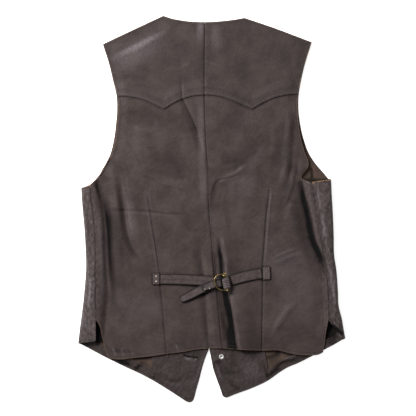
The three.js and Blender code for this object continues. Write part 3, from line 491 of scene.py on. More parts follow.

# Painted shade and painted light on the back's face: shade in its folds and troughs, shadows of the belt,
# sheen and glints on its ridges; rise is how much darker (below 0) or paler (above 0) the face is painted
BACK_SHADE_AND_LIGHT = folds(
    ("depth of the left trough", -0.66, 0.5, 4, 14,
     ((-222, 52), (-212, 25), (-203, 0), (-200, -25), (-198.5, -50), (-197.5, -80), (-195, -110),
      (-191, -145), (-190, -200), (-197, -262)), 0.04, 0.65),
    ("soft side of the left trough", -0.42, 2, 6, 34,
     ((-208, 24), (-194, -40), (-190, -110), (-184, -170), (-184, -240)), 0.2, 0.5),
    ("lit side of the left trough", 0.26, 1, 6, 5,
     ((-214, 16), (-211, -40), (-208, -86), (-207, -131), (-207, -200)), 0.2, 0.3),
    ("depth of the left inner valley", -0.68, 0.5, 13, 3.5,
     ((-176, 60), (-171, 20), (-168, -2), (-164.5, -31), (-160, -53), (-152, -75), (-139.5, -92),
      (-131, -103)), 0.35, 0.2),
    ("left inner ridge", 0.24, 0, 4, 16,
     ((-165, 46), (-158, 0), (-154, -30), (-146, -62), (-136, -84)), 0.4, 0.4),
    ("shade between the left valleys", -0.15, 4, 5, 12, ((-188, 4), (-186, -30), (-182, -72)), 0.3, 0.4),
    ("depth of the right trough", -0.86, 1, 13, 5,
     ((168, 57), (175, 27), (181.5, 4), (188.5, -27), (193.5, -56), (202, -77), (210.5, -98), (216, -131),
      (217, -165)), 0.03, 0.4),
    ("soft side of the right trough", -0.45, 3, 34, 6,
     ((166, 45), (173, 10), (181, -30), (192, -66), (205, -100), (211, -160)), 0.15, 0.5),
    ("dark edge of the right armhole", -0.85, 0.5, 3, 4,
     ((182, 108), (186, 94), (184, 83), (177, 72), (168, 59)), 0.3, 0.1),
    ("right valley by the armhole", -0.44, 3, 16, 12,
     ((150, 205), (147, 160), (138, 120), (128, 70), (114, 30)), 0.45, 0.5),
    ("right ridge by the armhole", 0.16, 0, 8, 10, ((152, 96), (148, 60), (140, 25), (126, -10)), 0.4, 0.5),
    ("crease by the right armhole", -0.5, 0, 5, 4,
     ((166, 112), (159, 62), (152, 32), (140, 6), (126, -12)), 0.3, 0.4),
    ("depth of the pleat above the belt", -1.4, 1.5, 4.5, 2,
     ((11, -42), (14, -72), (17.5, -98), (20, -134)), 0.6, 0),
    ("depth of the pleat below the belt", -1.5, 2.6, 6.5, 2,
     ((21.5, -128), (28.2, -165), (34.8, -200), (40.3, -235), (45.3, -282)), 0, 0),
    ("soft side of the pleat", -0.5, 2, 14, 8,
     ((14, -90), (20, -130), (25, -180), (33, -240), (37, -280)), 0.3, 0),
    ("shade of the pleat's foot", -0.5, 1, 4, 5, ((27, -215), (30, -232), (31.5, -250), (35, -282)), 0.3, 0),
    ("edge of the pleat", 0.35, 0, 2, 2.5,
     ((14, -50), (20, -74), (25, -98), (29, -130), (36.5, -165), (42, -198), (48, -235),
      (53, -268)), 0.3, 0.05),
    ("fall beside the pleat", -0.3, 0, 6, 9, ((18, -40), (29, -75), (37, -112), (42, -130)), 0.4, 0.4),
    ("valley left of the centre", -0.55, 0.5, 10, 4,
     ((-24, -40), (-22, -95), (-15, -154), (-12, -207), (-6, -272)), 0.45, 0),
    ("upper fold on the left chest", -0.36, 6, 24, 20,
     ((-30, 158), (-90, 164), (-150, 174), (-190, 150)), 0.5, 0.5),
    ("lower fold on the left chest", -0.36, 8, 32, 20,
     ((-8, 104), (-44, 80), (-84, 77), (-140, 100)), 0.5, 0.5),
    ("line under the lower fold", -0.12, 0, 10, 6, ((-26, 76), (-48, 60), (-76, 60), (-116, 78)), 0.4, 0.4),
    ("fold right of the centre", -0.5, 5, 26, 10, ((92, 130), (54, 92), (24, 80), (2, 78)), 0.5, 0.4),
    ("shade under the right yoke", -0.32, 12, 34, 34, ((96, 176), (44, 172), (-4, 184)), 0.5, 0.5),
    ("ridge right of the centre", 0.14, 0, 5, 14,
     ((98, 128), (78, 88), (58, 64), (38, 56), (12, 48)), 0.3, 0.4),
    ("hook beside the centre", -0.5, 0, 4, 3, ((62, 70), (38, 61), (16, 56), (6, 48), (0, 26)), 0.3, 0.4),
    ("shade in the hook", -0.55, 1, 4, 11, ((24, 60), (8, 49), (1, 34), (-2, 10), (-1, -18)), 0.3, 0.5),
    ("bloom by the hook", 0.13, 8, 26, 26, ((58, 74), (52, 8)), 0.4, 0.4),
    ("fold down from the hook", -0.3, 0, 6, 10, ((30, 24), (26, -4), (32, -34), (38, -58)), 0.4, 0.4),
    ("fold under the right armhole", -0.24, 2, 16, 14, ((186, -22), (166, -40), (140, -44)), 0.4, 0.4),
    ("line in the long crease", -0.8, 0, 3.2, 2.4,
     ((-57, 252), (-57.5, 214), (-54, 203), (-41, 178), (-30, 152), (-26, 137)), 0.4, 0.15),
    ("shade beside the long crease", -0.3, 0, 14, 4,
     ((-58, 214), (-44, 178), (-30, 148), (-16, 100)), 0.4, 0.3),
    ("pale band left of the centre", 0.24, 2, 7, 6,
     ((-22, 228), (-20, 170), (-19, 100), (-17, 40), (-13, -20)), 0.2, 0.3),
    ("pale patch at the collar left", 0.35, 1, 10, 7, ((-20, 360), (-21, 338), (-22, 305)), 0.1, 0.8),
    ("pale patch at the collar right", 0.16, 2, 8, 12, ((9, 356), (7, 326), (9, 290)), 0.3, 0.5),
    ("shine on the left shoulder", 0.46, 0, 6, 10,
     ((-74, 346), (-115, 325), (-140, 311), (-166, 299), (-204, 282)), 0.45, 0.5),
    ("bloom under the shine", 0.2, 3, 14, 34, ((-84, 336), (-140, 306), (-200, 270)), 0.4, 0.3),
    ("bloom at the right waist", 0.13, 12, 34, 34,
     ((112, -46), (122, -90), (150, -120), (160, -190), (140, -240)), 0.4, 0.4),
    ("bloom over the left hem", 0.1, 20, 40, 40, ((-130, -150), (-140, -220)), 0.5, 0.5),
    ("pale line under the waist crease", 0.25, 0, 3, 8, ((176, -80), (146, -89), (112, -105))),
    ("dark waist crease", -0.3, 0, 3, 3, ((176, -75), (146, -84), (110, -99))),
    ("pale drag line over the hem", 0.14, 0, 8, 8, ((162, -170), (135, -205), (106, -250)), 0.4, 0.4),
    ("dark drag line over the hem", -0.25, 0, 6, 6, ((150, -170), (125, -205), (98, -250)), 0.4, 0.4),
    ("cross crease left", -0.42, 0, 2.6, 2.6, ((-22, -6), (-80, -9), (-130, -3), (-198, -1)), 0.3, 0.1),
    ("pale side of the cross crease", 0.1, 0, 3, 4, ((-60, -13), (-130, -8), (-196, -6)), 0.3, 0.2),
    ("drag crease left", -0.2, 0, 4, 6, ((-112, 49), (-84, 42), (-56, 35), (-19, 19)), 0.4, 0.4),
    ("drag crease by the centre", -0.25, 0, 3, 4, ((-49, -37), (-34, -41), (-19, -42)), 0.4, 0.4),
    ("pale roll beside the right trough", 0.12, 2, 6, 10,
     ((180, 40), (188, 6), (196, -30), (206, -66), (216, -104)), 0.2, 0.4),
    ("line by the left armhole", -0.25, 0, 4, 4,
     ((-164, 140), (-150, 110), (-138, 88), (-126, 66)), 0.4, 0.4),
    ("crumple at the left hem one", 0.42, 0, 3, 3, ((-190, -262), (-184, -274), (-182, -282))),
    ("crumple at the left hem two", 0.34, 0, 3, 3, ((-172, -264), (-170, -274), (-166, -282))),
    ("crumple at the left hem three", 0.3, 0, 3, 3, ((-154, -268), (-150, -276), (-148, -281))),
    ("shade in the left hem", -0.45, 1, 4, 4, ((-196, -270), (-176, -270), (-140, -272))),
    ("crumple at the hem by the dart", 0.5, 0, 2.5, 2.5, ((-70, -256), (-66, -264), (-66, -270))),
    ("pale line beside the left dart", 0.22, 0, 2, 3,
     ((-128, 46), (-119, -21), (-111, -69), (-104, -117), (-101, -150)), 0.1, 0.3),
    ("pale line beside the right dart", 0.22, 0, 2, 3,
     ((113, 42), (109, -2), (106, -37), (103, -80), (101, -110)), 0.1, 0.3),
    ("second line by the right dart", -0.35, 0, 2, 2,
     ((117, 34), (112, -2), (109, -37), (107, -70), (105, -96)), 0.1, 0.3),
    ("shade of the left strap", -0.8, 0, 2.5, 3.2,
     ((-8, -148), (-20, -147.3), (-60, -145.3), (-98, -144.8), (-113, -145.6)), 0.05, 0.05),
    ("shade over the left strap", -0.5, 0, 2.2, 2,
     ((14, -128.6), (-20, -125.4), (-60, -123.4), (-98, -122.8), (-113, -121.2)), 0.05, 0.05),
    ("shade of the right strap", -0.8, 0, 2.5, 3.2,
     ((112, -135.4), (97, -135.6), (80, -136.4), (60, -140.8), (38, -147)), 0.05, 0.05),
    ("shade over the right strap", -0.5, 0, 2.2, 2,
     ((112, -108.6), (97, -109.6), (80, -114), (60, -118.4), (38, -125)), 0.05, 0.05),
    ("shade of the free tail", -0.9, 0.5, 3, 3.5,
     ((2, -156), (-17, -162), (-34, -171), (-46, -177), (-58, -178)), 0.1, 0.1),
    ("shade of the left tab", -0.6, 0, 2.5, 2.5, ((-114.5, -121), (-114.5, -145)), 0.1, 0.1),
    ("shade of the right tab", -0.6, 0, 2.5, 2.5, ((112.5, -109), (112.5, -135)), 0.1, 0.1),
)

# Painted shade and painted light, with glints, on the fronts and their linings: under the hem, in the vents,
# in the armhole and on the points
FRONT_SHADE_AND_LIGHT = folds(
    ("under the left hem", -0.8, 1, 4, 5,
     ((-8, -266), (-51, -272), (-83, -276), (-117, -281.5), (-174, -287), (-212, -283)), 0.05, 0.05),
    ("under the right hem", -0.8, 1, 4, 5,
     ((212, -273), (180, -279), (151, -276), (128, -270.5), (80, -269), (10, -266)), 0.05, 0.05),
    ("under the right armhole's edge", -0.8, 1, 3, 5,
     ((226, 55), (206, 54), (184, 55), (172, 60)), 0.2, 0.1),
    ("crease down the right armhole", -0.85, 0.8, 3, 3, ((187, 84), (190, 72), (190, 56)), 0.3, 0.1),
    ("long shade inside the right armhole", -0.5, 2, 5, 5,
     ((172, 150), (180, 116), (190, 92), (196, 78)), 0.2, 0.3),
    ("left hem crumple one", -0.95, 1, 6, 6, ((-146, -296), (-162, -294), (-186, -288))),
    ("left hem crumple two", -0.9, 1, 6, 6, ((-128, -290), (-140, -300), (-150, -308))),
    ("left hem glint one", 0.7, 0, 3, 3, ((-116, -284), (-132, -294), (-140, -302))),
    ("left hem glint two", 0.7, 0, 3, 3, ((-160, -286), (-176, -290), (-190, -290))),
    ("left point crease one", -0.55, 0, 5, 7, ((-52, -322), (-72, -326), (-92, -318))),
    ("left point crease two", -0.5, 0, 5, 7, ((-94, -312), (-112, -320), (-126, -318))),
    ("left point glint", 0.14, 0, 5, 5, ((-50, -330), (-70, -334), (-86, -330))),
    ("left hole shade", -1.3, 1, 2.6, 2.6, ((-24, -283), (-40, -281), (-56, -278)), 0.15, 0.15),
    ("left hole lip", 0.6, 0, 2, 2.5, ((-26, -287.5), (-40, -286), (-54, -282)), 0.2, 0.2),
    ("right point crease one", -0.6, 1, 6, 7, ((33, -322), (40, -336), (56, -344)), 0.2, 0.3),
    ("right edge crumple", -0.9, 1, 4, 5, ((4, -288), (10, -291), (19, -287)), 0.2, 0.3),
    ("right hem line", -0.7, 0, 3, 4, ((96, -290), (102, -306), (106, -322)), 0.2, 0.2),
    ("right hem crumple two", -0.9, 1, 4, 5, ((100, -322), (122, -306), (136, -300)), 0.2, 0.3),
    ("right point crease two", -0.55, 0, 5, 6, ((18, -310), (40, -312), (64, -308))),
    ("right point crease three", -0.5, 0, 3, 3, ((2, -293), (10, -296), (20, -294))),
    ("right hem crumple", -0.9, 1, 5, 5, ((172, -284), (140, -290), (112, -304))),
    ("right hem glint", 0.8, 0, 3, 3, ((164, -279), (136, -284), (108, -298))),
    ("right patch shade", -0.7, 1, 4, 7, ((132, -272), (116, -279), (100, -284)), 0.2, 0.2),
    ("right point bloom", 0.16, 6, 16, 14, ((66, -284), (76, -310), (84, -330)), 0.4, 0.4),
    ("right edge glint", 0.35, 0, 2.5, 3, ((3, -275), (10, -300), (20, -330)), 0.2, 0.3),
    ("left opening glint", 0.25, 0, 3, 2.5, ((-14, -276), (-24, -304), (-36, -340)), 0.2, 0.3),
    ("left strip hem shade", -0.5, 0, 2, 3, ((-208, -252), (-230, -250), (-248, -248)), 0.1, 0.1),
    ("right strip foot", -0.75, 4, 7, 7, ((222, -206), (228, -226), (229, -244), (226, -262)), 0.3, 0.1),
    ("right strip foot shade", -0.4, 4, 8, 8, ((236, -206), (241, -226), (244, -246)), 0.4, 0.1),
    ("right strip foot crumple", -0.7, 1, 4, 4, ((232, -222), (242, -232), (250, -240)), 0.2, 0.2),
    ("right strip foot glint", 1.1, 0, 2.6, 2.6, ((231, -231), (240, -236), (250, -246))),
    ("right strip foot glint two", 1.0, 0, 2.4, 2.4, ((229, -212), (236, -222), (240, -226))),
    ("left strip pale foot", 0.06, 6, 14, 10, ((-232, -90), (-236, -150), (-242, -240)), 0.5, 0.2),
    ("left strip streak one", 0.3, 0, 4, 4, ((-222, 10), (-220, -20), (-219, -60))),
    ("left strip streak two", 0.35, 0, 4, 4, ((-231, -120), (-232, -160), (-236, -190))),
    ("left strip shade", -0.3, 1, 5, 5, ((-240, 20), (-236, -30), (-232, -90))),
    ("right strip streak one", 0.3, 0, 4, 4, ((208, 0), (212, -30), (216, -64))),
    ("right strip streak two", 0.25, 0, 4, 4, ((200, 46), (204, 20), (208, -4))),
    ("right strip shade", -0.35, 1, 6, 6, ((214, 40), (222, -20), (226, -80), (232, -150))),
    ("right strip streak three", 0.25, 0, 4, 5, ((222, -100), (230, -150), (236, -190))),
)

# Painted shade on what lies in the dark under the vents
VENT_SHADE = folds(
    ("left vent", -1.8, 9, 5, 5, ((-215, -200), (-214, -235), (-213, -258)), 0, 0.12),
    ("right vent", -1.8, 7, 5, 5, ((221, -196), (219, -225), (224, -250)), 0, 0.2),
)


def painted_light_at(table: Sequence[Fold], x: Array, y: Array) -> tuple[Array, Array]:
    """Add up a table of painted shade and painted light.

    Args:
        table: the tones.
        x, y: where to read them.

    Returns:
        How dark, and how pale, they make each point.
    """
    tones = [tone.rise * tone.strength(x, y) for tone in table]
    dark = -sum(np.minimum(tone, 0) for tone in tones)
    pale = sum(np.maximum(tone, 0) for tone in tones)
    return dark, pale


def button_lift(x: Array, y: Array, slack: float = 0.0) -> Array:
    """Work out how far the buttons lift the leather that lies over them.

    Args:
        x, y: where to read it.
        slack: how much wider than the button the lifted place is.

    Returns:
        The lift at each point.
    """
    run = BUTTON_REACH - BUTTON_FLAT
    across = 1 - ease((np.abs(x - BUTTON_X) - BUTTON_FLAT - slack) / run)
    return sum(BUTTON_LIFT * across * (1 - ease((np.abs(y - at) - BUTTON_FLAT - slack) / run))
               for at in BUTTON_YS)


def crumple(x: Array, y: Array, wave: float, seed: int) -> Array:
    """Crumple a surface: soft swells with sharp creases between them.

    Args:
        x, y: where to read it.
        wave: the usual distance between creases.
        seed: the seed of its directions.

    Returns:
        The height at each point, from about -1 to 1.
    """
    draw = np.random.default_rng(seed)
    total = np.zeros(np.broadcast(x, y).shape)
    count = 7
    bend, bend_rate = 1.1, 1.7
    mean, gain = 0.64, 1.6
    for angle, phase in zip(draw.uniform(0, np.pi, count), draw.uniform(0, 2 * np.pi, count)):
        along = (x * np.cos(angle) + y * np.sin(angle)) / wave
        across = (y * np.cos(angle) - x * np.sin(angle)) / wave
        turn = np.pi * along + phase + bend * np.sin(bend_rate * across + 3 * phase)
        total += np.abs(np.sin(turn)) - mean
    return total * gain / count


def at_sides(x: Array, y: Array) -> Array:
    """Find the crumpled leather at the side seams.

    Args:
        x, y: where to read it.

    Returns:
        1 at the seams, fading to 0 towards the middle of the back and the armholes.
    """
    left_fade, right_fade = 24, 28
    top, top_fade = 60, 20
    left = 1 + np.minimum(LEFT_SIDE(y) - x, 0) / left_fade
    right = 1 + np.minimum(x - RIGHT_SIDE(y), 0) / right_fade
    return ease((top - y) / top_fade) * (ease(left) + ease(right))


def side_crumple(x: Array, y: Array) -> Array:
    """Return how far the leather at the side seams is crumpled up or down."""
    squeeze, wave, seed = SIDE_WAVES[0]
    return SIDE_RISE * at_sides(x, y) * crumple(x, y * squeeze, wave, seed)


def side_crumple_shading(x: Array, y: Array) -> tuple[Array, Array]:
    """Return the painted shade in the hollows and the painted highlight on the crests of the crumpled leather
    at the sides.
    """
    flecks = at_sides(x, y) * sum(crumple(x, y * squeeze, wave, seed) for squeeze, wave, seed in SIDE_WAVES)
    return SIDE_SHADING * np.maximum(-flecks, 0), SIDE_SHADING * np.maximum(flecks, 0)


def back_height(x: Array, y: Array) -> Array:
    """Work out the height of the back's outer face, held up by the layers under it.

    Args:
        x, y: where to read it.

    Returns:
        The height at each point.
    """
    x, y = np.asarray(x, dtype=float), np.asarray(y, dtype=float)
    slack, over_buttons, softness = 8.0, 1.1, 0.8
    free = LIE + sum(fold.rise * fold.strength(x, y) for fold in FOLDS + CREASES) + side_crumple(x, y)
    least = LEAST_LIE + over_buttons * button_lift(x, y, slack)
    return (free + least + np.hypot(free - least, softness)) / 2


def lap_edge(x: Array) -> Array:
    """Return the y of the panels' top edge, which lies under the yoke."""
    return YOKE_EDGE(x) + LAP


def yoke_height(x: Array, y: Array) -> Array:
    """Return the height of the yoke's outer face, stepped up where it laps over the panels."""
    return back_height(x, y) + (LEATHER + GAP) * (1 - ease((y - lap_edge(x)) / LAP_SLOPE))


def mesh_normals(points: Array, quads: Array) -> Array:
    """Average the normals of the quads that meet at each point.

    Args:
        points: an array of n by 3.
        quads: the point numbers of each face's corners.

    Returns:
        The unit normal at each point.
    """
    a, b, c, d = (points[quads[:, i]] for i in range(4))
    faces = np.cross(c - a, d - b)
    normals = np.zeros_like(points)
    for i in range(4):
        np.add.at(normals, quads[:, i], faces)
    return normals / np.linalg.norm(normals, axis=1, keepdims=True)


@dataclass(frozen=True)
class Run:
    """Rows that cross a piece at shares of the way from one curve down to another."""

    top: Callable
    bottom: Callable
    shares: Sequence[float]

    def cross(self, x: Array) -> Array:
        """Return the y of each row at its own x."""
        return mix(self.top(x), self.bottom(x), np.array(self.shares)[:, None])


def plan_grid(lines: Sequence[Callable], columns: Sequence[Sequence[float]],
              runs: Sequence[Run]) -> tuple[Array, Array]:
    """Lay out a piece's plan in rows and columns.

    Args:
        lines: x of the lines that run down the piece, as functions of y.
        columns: the shares between each line and the next at which a column lies.
        runs: the rows, in order down the piece.

    Returns:
        x and y of the points, each an array of rows by columns.
    """
    counts = [len(run.shares) for run in runs]
    limits = np.cumsum([0, *counts])

    def cross(x: Array) -> Array:
        """Return the y of every row at its x."""
        return np.concatenate([run.cross(x[i:j]) for run, i, j in zip(runs, limits, limits[1:])])

    passes = 45
    xs, ys = [], []
    for span, shares in enumerate(columns):
        share = np.array(shares)[None, :]
        x = np.repeat(mix(lines[span](0.0), lines[span + 1](0.0), share), limits[-1], axis=0)
        y = cross(x)
        for _ in range(passes):
            x = mix(lines[span](y), lines[span + 1](y), share)
            y = mix(y, cross(x), 0.5)
        xs.append(mix(lines[span](y), lines[span + 1](y), share))
        ys.append(y)
    return np.concatenate(xs, axis=1), np.concatenate(ys, axis=1)


def shares_by_step(length: float, step: float, close: Sequence[float] = (),
                   last: bool = False) -> list[float]:
    """Return even shares of a length, with closer ones near its ends.

    Args:
        length: the length to share out.
        step: the usual distance between shares.
        close: distances from both ends at which extra shares lie.
        last: whether the end itself is included.

    Returns:
        The shares, in order from 0.
    """
    inner_start = max(close) if close else 0.0
    count = max(1, round((length - 2 * inner_start) / step))
    middle = np.linspace(inner_start, length - inner_start, count + 1)
    near = [0.0, *close]
    places = sorted({round(v, 4) for v in (*near, *middle, *(length - v for v in near))})
    shares = [place / length for place in places]
    return shares if last else shares[:-1]


def grid_quads(row_count: int, column_count: int) -> Array:
    """Return the four corners of each cell of a grid of points."""
    index = np.arange(row_count * column_count).reshape(row_count, column_count)
    corners = (index[:-1, :-1], index[:-1, 1:], index[1:, 1:], index[1:, :-1])
    return np.stack([corner.ravel() for corner in corners], axis=1)


def srgb(code: str) -> tuple[float, float, float, float]:
    """Turn an sRGB hex colour into the linear colour that a shader takes."""
    parts = [int(code[i:i + 2], 16) / 255 for i in (0, 2, 4)]
    linear = [c / 12.92 if c <= 0.04045 else ((c + 0.055) / 1.055) ** 2.4 for c in parts]
    return (*linear, 1.0)


def add_node(tree: bpy.types.NodeTree, kind: str, links: dict | None = None, **settings) -> bpy.types.Node:
    """Add a shader node with its settings and links.

    Args:
        tree: the material's node tree.
        kind: the node's type, without ShaderNode in front.
        links: input name or number to an output socket, a node's first output, or a plain value.
        **settings: the node's own properties.

    Returns:
        The new node.
    """
    node = tree.nodes.new(f"ShaderNode{kind}")
    for name, value in settings.items():
        setattr(node, name, value)
    for name, source in (links or {}).items():
        if isinstance(source, bpy.types.Node):
            source = source.outputs[0]
        if isinstance(source, bpy.types.NodeSocket):
            tree.links.new(source, node.inputs[name])
        else:
            node.inputs[name].default_value = source
    return node


def new_material(name: str) -> tuple[bpy.types.Material, bpy.types.NodeTree, bpy.types.Node]:
    """Start an empty material.

    Args:
        name: the material's name.

    Returns:
        The material, its node tree and its output node.
    """
    material = bpy.data.materials.new(name)
    material.use_nodes = True
    tree = material.node_tree
    tree.nodes.clear()
    return material, tree, tree.nodes.new("ShaderNodeOutputMaterial")


@dataclass(frozen=True)
class LeatherFinish:
    """Dyed cowhide: a drum-dyed skin whose grain side is rolled and waxed.

    Wax gives a satin gloss, the dye is uneven over centimetres, and edges and ridges that rub
    lose dye and show the brown underneath. The pores lie about 0.8 mm apart; the grain is drawn
    2.6 mm wide, because finer grain does not show at the photograph's 1.9 mm to the pixel.
    """

    name: str
    # Colours in order: the dye, its paler patches, painted shade and seam lines, painted sheen, rubbed wear,
    # and the near-black of the deepest painted shade
    dye: str
    pale: str
    shade_and_seam_colour: str
    painted_sheen: str
    worn: str
    deepest_shade: str = "020101"
    roughness: float = 0.5
    specular: float = 0.2
    grain_mm: float = 2.6
    grain_depth_mm: float = 0.09
    fleck_mm: float = 4.0
    wrinkle_mm: float = 26.0
    wrinkle_depth_mm: float = 0.22
    mottle_mm: float = 34.0
    scuff_mm: float = 5.0
    stretch: float = 1.0

    def material(self) -> bpy.types.Material:
        """Build the shader: mottled dye; wear, seam lines, painted shade and painted sheen from attributes;
        grain and wrinkles as bump.

        Returns:
            The new material.
        """
        material, tree, output = new_material(self.name)
        place = add_node(tree, "TexCoord").outputs["Object"]
        mapping = add_node(tree, "Mapping", {"Vector": place, "Scale": (1.0, self.stretch, 1.0)})
        drawn = mapping.outputs[0]
        per_metre = 1 / MM
        mottle = add_node(tree, "TexNoise", {
            "Vector": drawn, "Scale": per_metre / self.mottle_mm, "Detail": 7.0, "Roughness": 0.72})
        patches = add_node(tree, "MapRange", {VALUE: mottle.outputs["Fac"], LOW: 0.36, HIGH: 0.64})
        dyed = add_node(tree, "Mix", {
            SHARE: patches, FIRST: srgb(self.dye), SECOND: srgb(self.pale)}, data_type="RGBA")
        flecks = add_node(tree, "TexNoise", {
            "Vector": place, "Scale": per_metre / self.fleck_mm, "Detail": 4.0, "Roughness": 0.75})
        uneven = add_node(tree, "MapRange", {
            VALUE: flecks.outputs["Fac"], LOW: 0.35, HIGH: 0.65, TO_LOW: 0.55, TO_HIGH: 1.45})
        # The crease attribute darkens the dye towards the painted shade colour: it holds the seam lines and
        # the painted shade in folds, troughs and by the belt; near 1 it goes to the near-black of the deepest
        # painted shade
        crease = add_node(tree, "Attribute", attribute_name="crease")
        with_seams_and_shade = add_node(tree, "Mix", {
            SHARE: crease.outputs["Fac"], FIRST: dyed.outputs[COLOUR], SECOND: srgb(self.shade_and_seam_colour)},
            data_type="RGBA")
        deepest_shade = add_node(tree, "MapRange", {VALUE: crease.outputs["Fac"], LOW: 0.85, HIGH: 1.0})
        with_deepest_shade = add_node(tree, "Mix", {
            SHARE: deepest_shade, FIRST: with_seams_and_shade.outputs[COLOUR], SECOND: srgb(self.deepest_shade)}, data_type="RGBA")
        # An attribute, broken up by the flecks, lightens it towards the painted sheen colour: painted
        # highlights, glints and sheen
        painted_sheen = add_node(tree, "Attribute", attribute_name="painted_sheen")
        patchy = add_node(tree, "Math", {
            0: painted_sheen.outputs["Fac"], 1: uneven}, operation="MULTIPLY")
        with_painted_sheen = add_node(tree, "Mix", {
            SHARE: patchy, FIRST: with_deepest_shade.outputs[COLOUR], SECOND: srgb(self.painted_sheen)}, data_type="RGBA")
        wear = add_node(tree, "Attribute", attribute_name="wear")
        scuff = add_node(tree, "TexNoise", {
            "Vector": place, "Scale": per_metre / self.scuff_mm, "Detail": 6.0, "Roughness": 0.7})
        broken = add_node(tree, "Math", {
            0: wear.outputs["Fac"], 1: scuff.outputs["Fac"]}, operation="MULTIPLY")
        rubbed = add_node(tree, "MapRange", {VALUE: broken, LOW: 0.16, HIGH: 0.5})
        coloured = add_node(tree, "Mix", {
            SHARE: rubbed, FIRST: with_painted_sheen.outputs[COLOUR], SECOND: srgb(self.worn)}, data_type="RGBA")
        gloss = add_node(tree, "MapRange", {
            VALUE: mottle.outputs["Fac"], LOW: 0.3, HIGH: 0.7,
            TO_LOW: self.roughness + 0.07, TO_HIGH: self.roughness - 0.06})
        dulled = add_node(tree, "Math", {
            0: crease.outputs["Fac"], 1: 0.38, 2: gloss}, operation="MULTIPLY_ADD")
        pebbles = add_node(tree, "TexVoronoi", {
            "Vector": place, "Scale": per_metre / self.grain_mm}, feature="SMOOTH_F1")
        wrinkles = add_node(tree, "TexNoise", {
            "Vector": drawn, "Scale": per_metre / self.wrinkle_mm, "Detail": 4.0, "Roughness": 0.5,
            "Distortion": 0.6})
        broad = add_node(tree, "Bump", {
            "Height": wrinkles.outputs["Fac"], "Distance": self.wrinkle_depth_mm * MM * NOISE_SPAN,
            "Strength": 1.0})
        fine = add_node(tree, "Bump", {
            "Height": pebbles.outputs["Distance"], "Distance": self.grain_depth_mm * MM * NOISE_SPAN,
            "Strength": 0.7, "Normal": broad})
        shader = add_node(tree, "BsdfPrincipled", {
            "Base Color": coloured.outputs[COLOUR], "Roughness": dulled, "Normal": fine,
            "Specular IOR Level": self.specular})
        tree.links.new(shader.outputs[0], output.inputs[0])
        return material


@dataclass(frozen=True)
class FleshFinish:
    """The flesh side of the hide: dyed through but never waxed, so it is matt with a short nap."""

    name: str
    dye: str
    pale: str
    # the colour of painted shade and seam lines
    shade_and_seam_colour: str = "0b0807"
    nap_mm: float = 2.2

    def material(self) -> bpy.types.Material:
        """Build the shader: two browns in a fibrous noise, fully rough.

        Returns:
            The new material.
        """
        material, tree, output = new_material(self.name)
        place = add_node(tree, "TexCoord").outputs["Object"]
        nap = add_node(tree, "TexNoise", {
            "Vector": place, "Scale": 1 / MM / self.nap_mm, "Detail": 6.0, "Roughness": 0.7})
        cloud = add_node(tree, "TexNoise", {
            "Vector": place, "Scale": 1 / MM / (self.nap_mm * 9), "Detail": 3.0})
        both = add_node(tree, "Math", {
            0: nap.outputs["Fac"], 1: cloud.outputs["Fac"]}, operation="MULTIPLY")
        spread = add_node(tree, "MapRange", {VALUE: both, LOW: 0.15, HIGH: 0.38})
        colour = add_node(tree, "Mix", {
            SHARE: spread, FIRST: srgb(self.dye), SECOND: srgb(self.pale)}, data_type="RGBA")
        # The crease attribute darkens it towards the painted shade colour: seam lines and painted shade, as
        # under the vents
        crease = add_node(tree, "Attribute", attribute_name="crease")
        with_seams_and_shade = add_node(tree, "Mix", {
            SHARE: crease.outputs["Fac"], FIRST: colour.outputs[COLOUR], SECOND: srgb(self.shade_and_seam_colour)},
            data_type="RGBA")
        bump = add_node(tree, "Bump", {
            "Height": nap.outputs["Fac"], "Distance": 0.3 * MM, "Strength": 0.8})
        shader = add_node(tree, "BsdfPrincipled", {
            "Base Color": with_seams_and_shade.outputs[COLOUR], "Roughness": 0.85, "Normal": bump,
            "Specular IOR Level": 0.15})
        tree.links.new(shader.outputs[0], output.inputs[0])
        return material


@dataclass(frozen=True)
class MetalFinish:
    """Drawn or turned metal: bright where it rubs, dulled by tarnish in soft patches."""

    name: str
    bright: str
    dull: str
    roughness: float
    patch_mm: float = 3.0

    def material(self) -> bpy.types.Material:
        """Build the shader: a full metal whose colour and gloss drift with the tarnish.

        Returns:
            The new material.
        """
        material, tree, output = new_material(self.name)
        place = add_node(tree, "TexCoord").outputs["Object"]
        tarnish = add_node(tree, "TexNoise", {
            "Vector": place, "Scale": 1 / MM / self.patch_mm, "Detail": 5.0, "Roughness": 0.6})
        spread = add_node(tree, "MapRange", {VALUE: tarnish.outputs["Fac"], LOW: 0.38, HIGH: 0.62})
        colour = add_node(tree, "Mix", {
            SHARE: spread, FIRST: srgb(self.bright), SECOND: srgb(self.dull)}, data_type="RGBA")
        gloss = add_node(tree, "MapRange", {
            VALUE: tarnish.outputs["Fac"], TO_LOW: self.roughness - 0.06, TO_HIGH: self.roughness + 0.16})
        bump = add_node(tree, "Bump", {
            "Height": tarnish.outputs["Fac"], "Distance": 0.05 * MM, "Strength": 0.4})
        shader = add_node(tree, "BsdfPrincipled", {
            "Base Color": colour.outputs[COLOUR], "Metallic": 1.0, "Roughness": gloss,
            "Normal": bump})
        tree.links.new(shader.outputs[0], output.inputs[0])
        return material


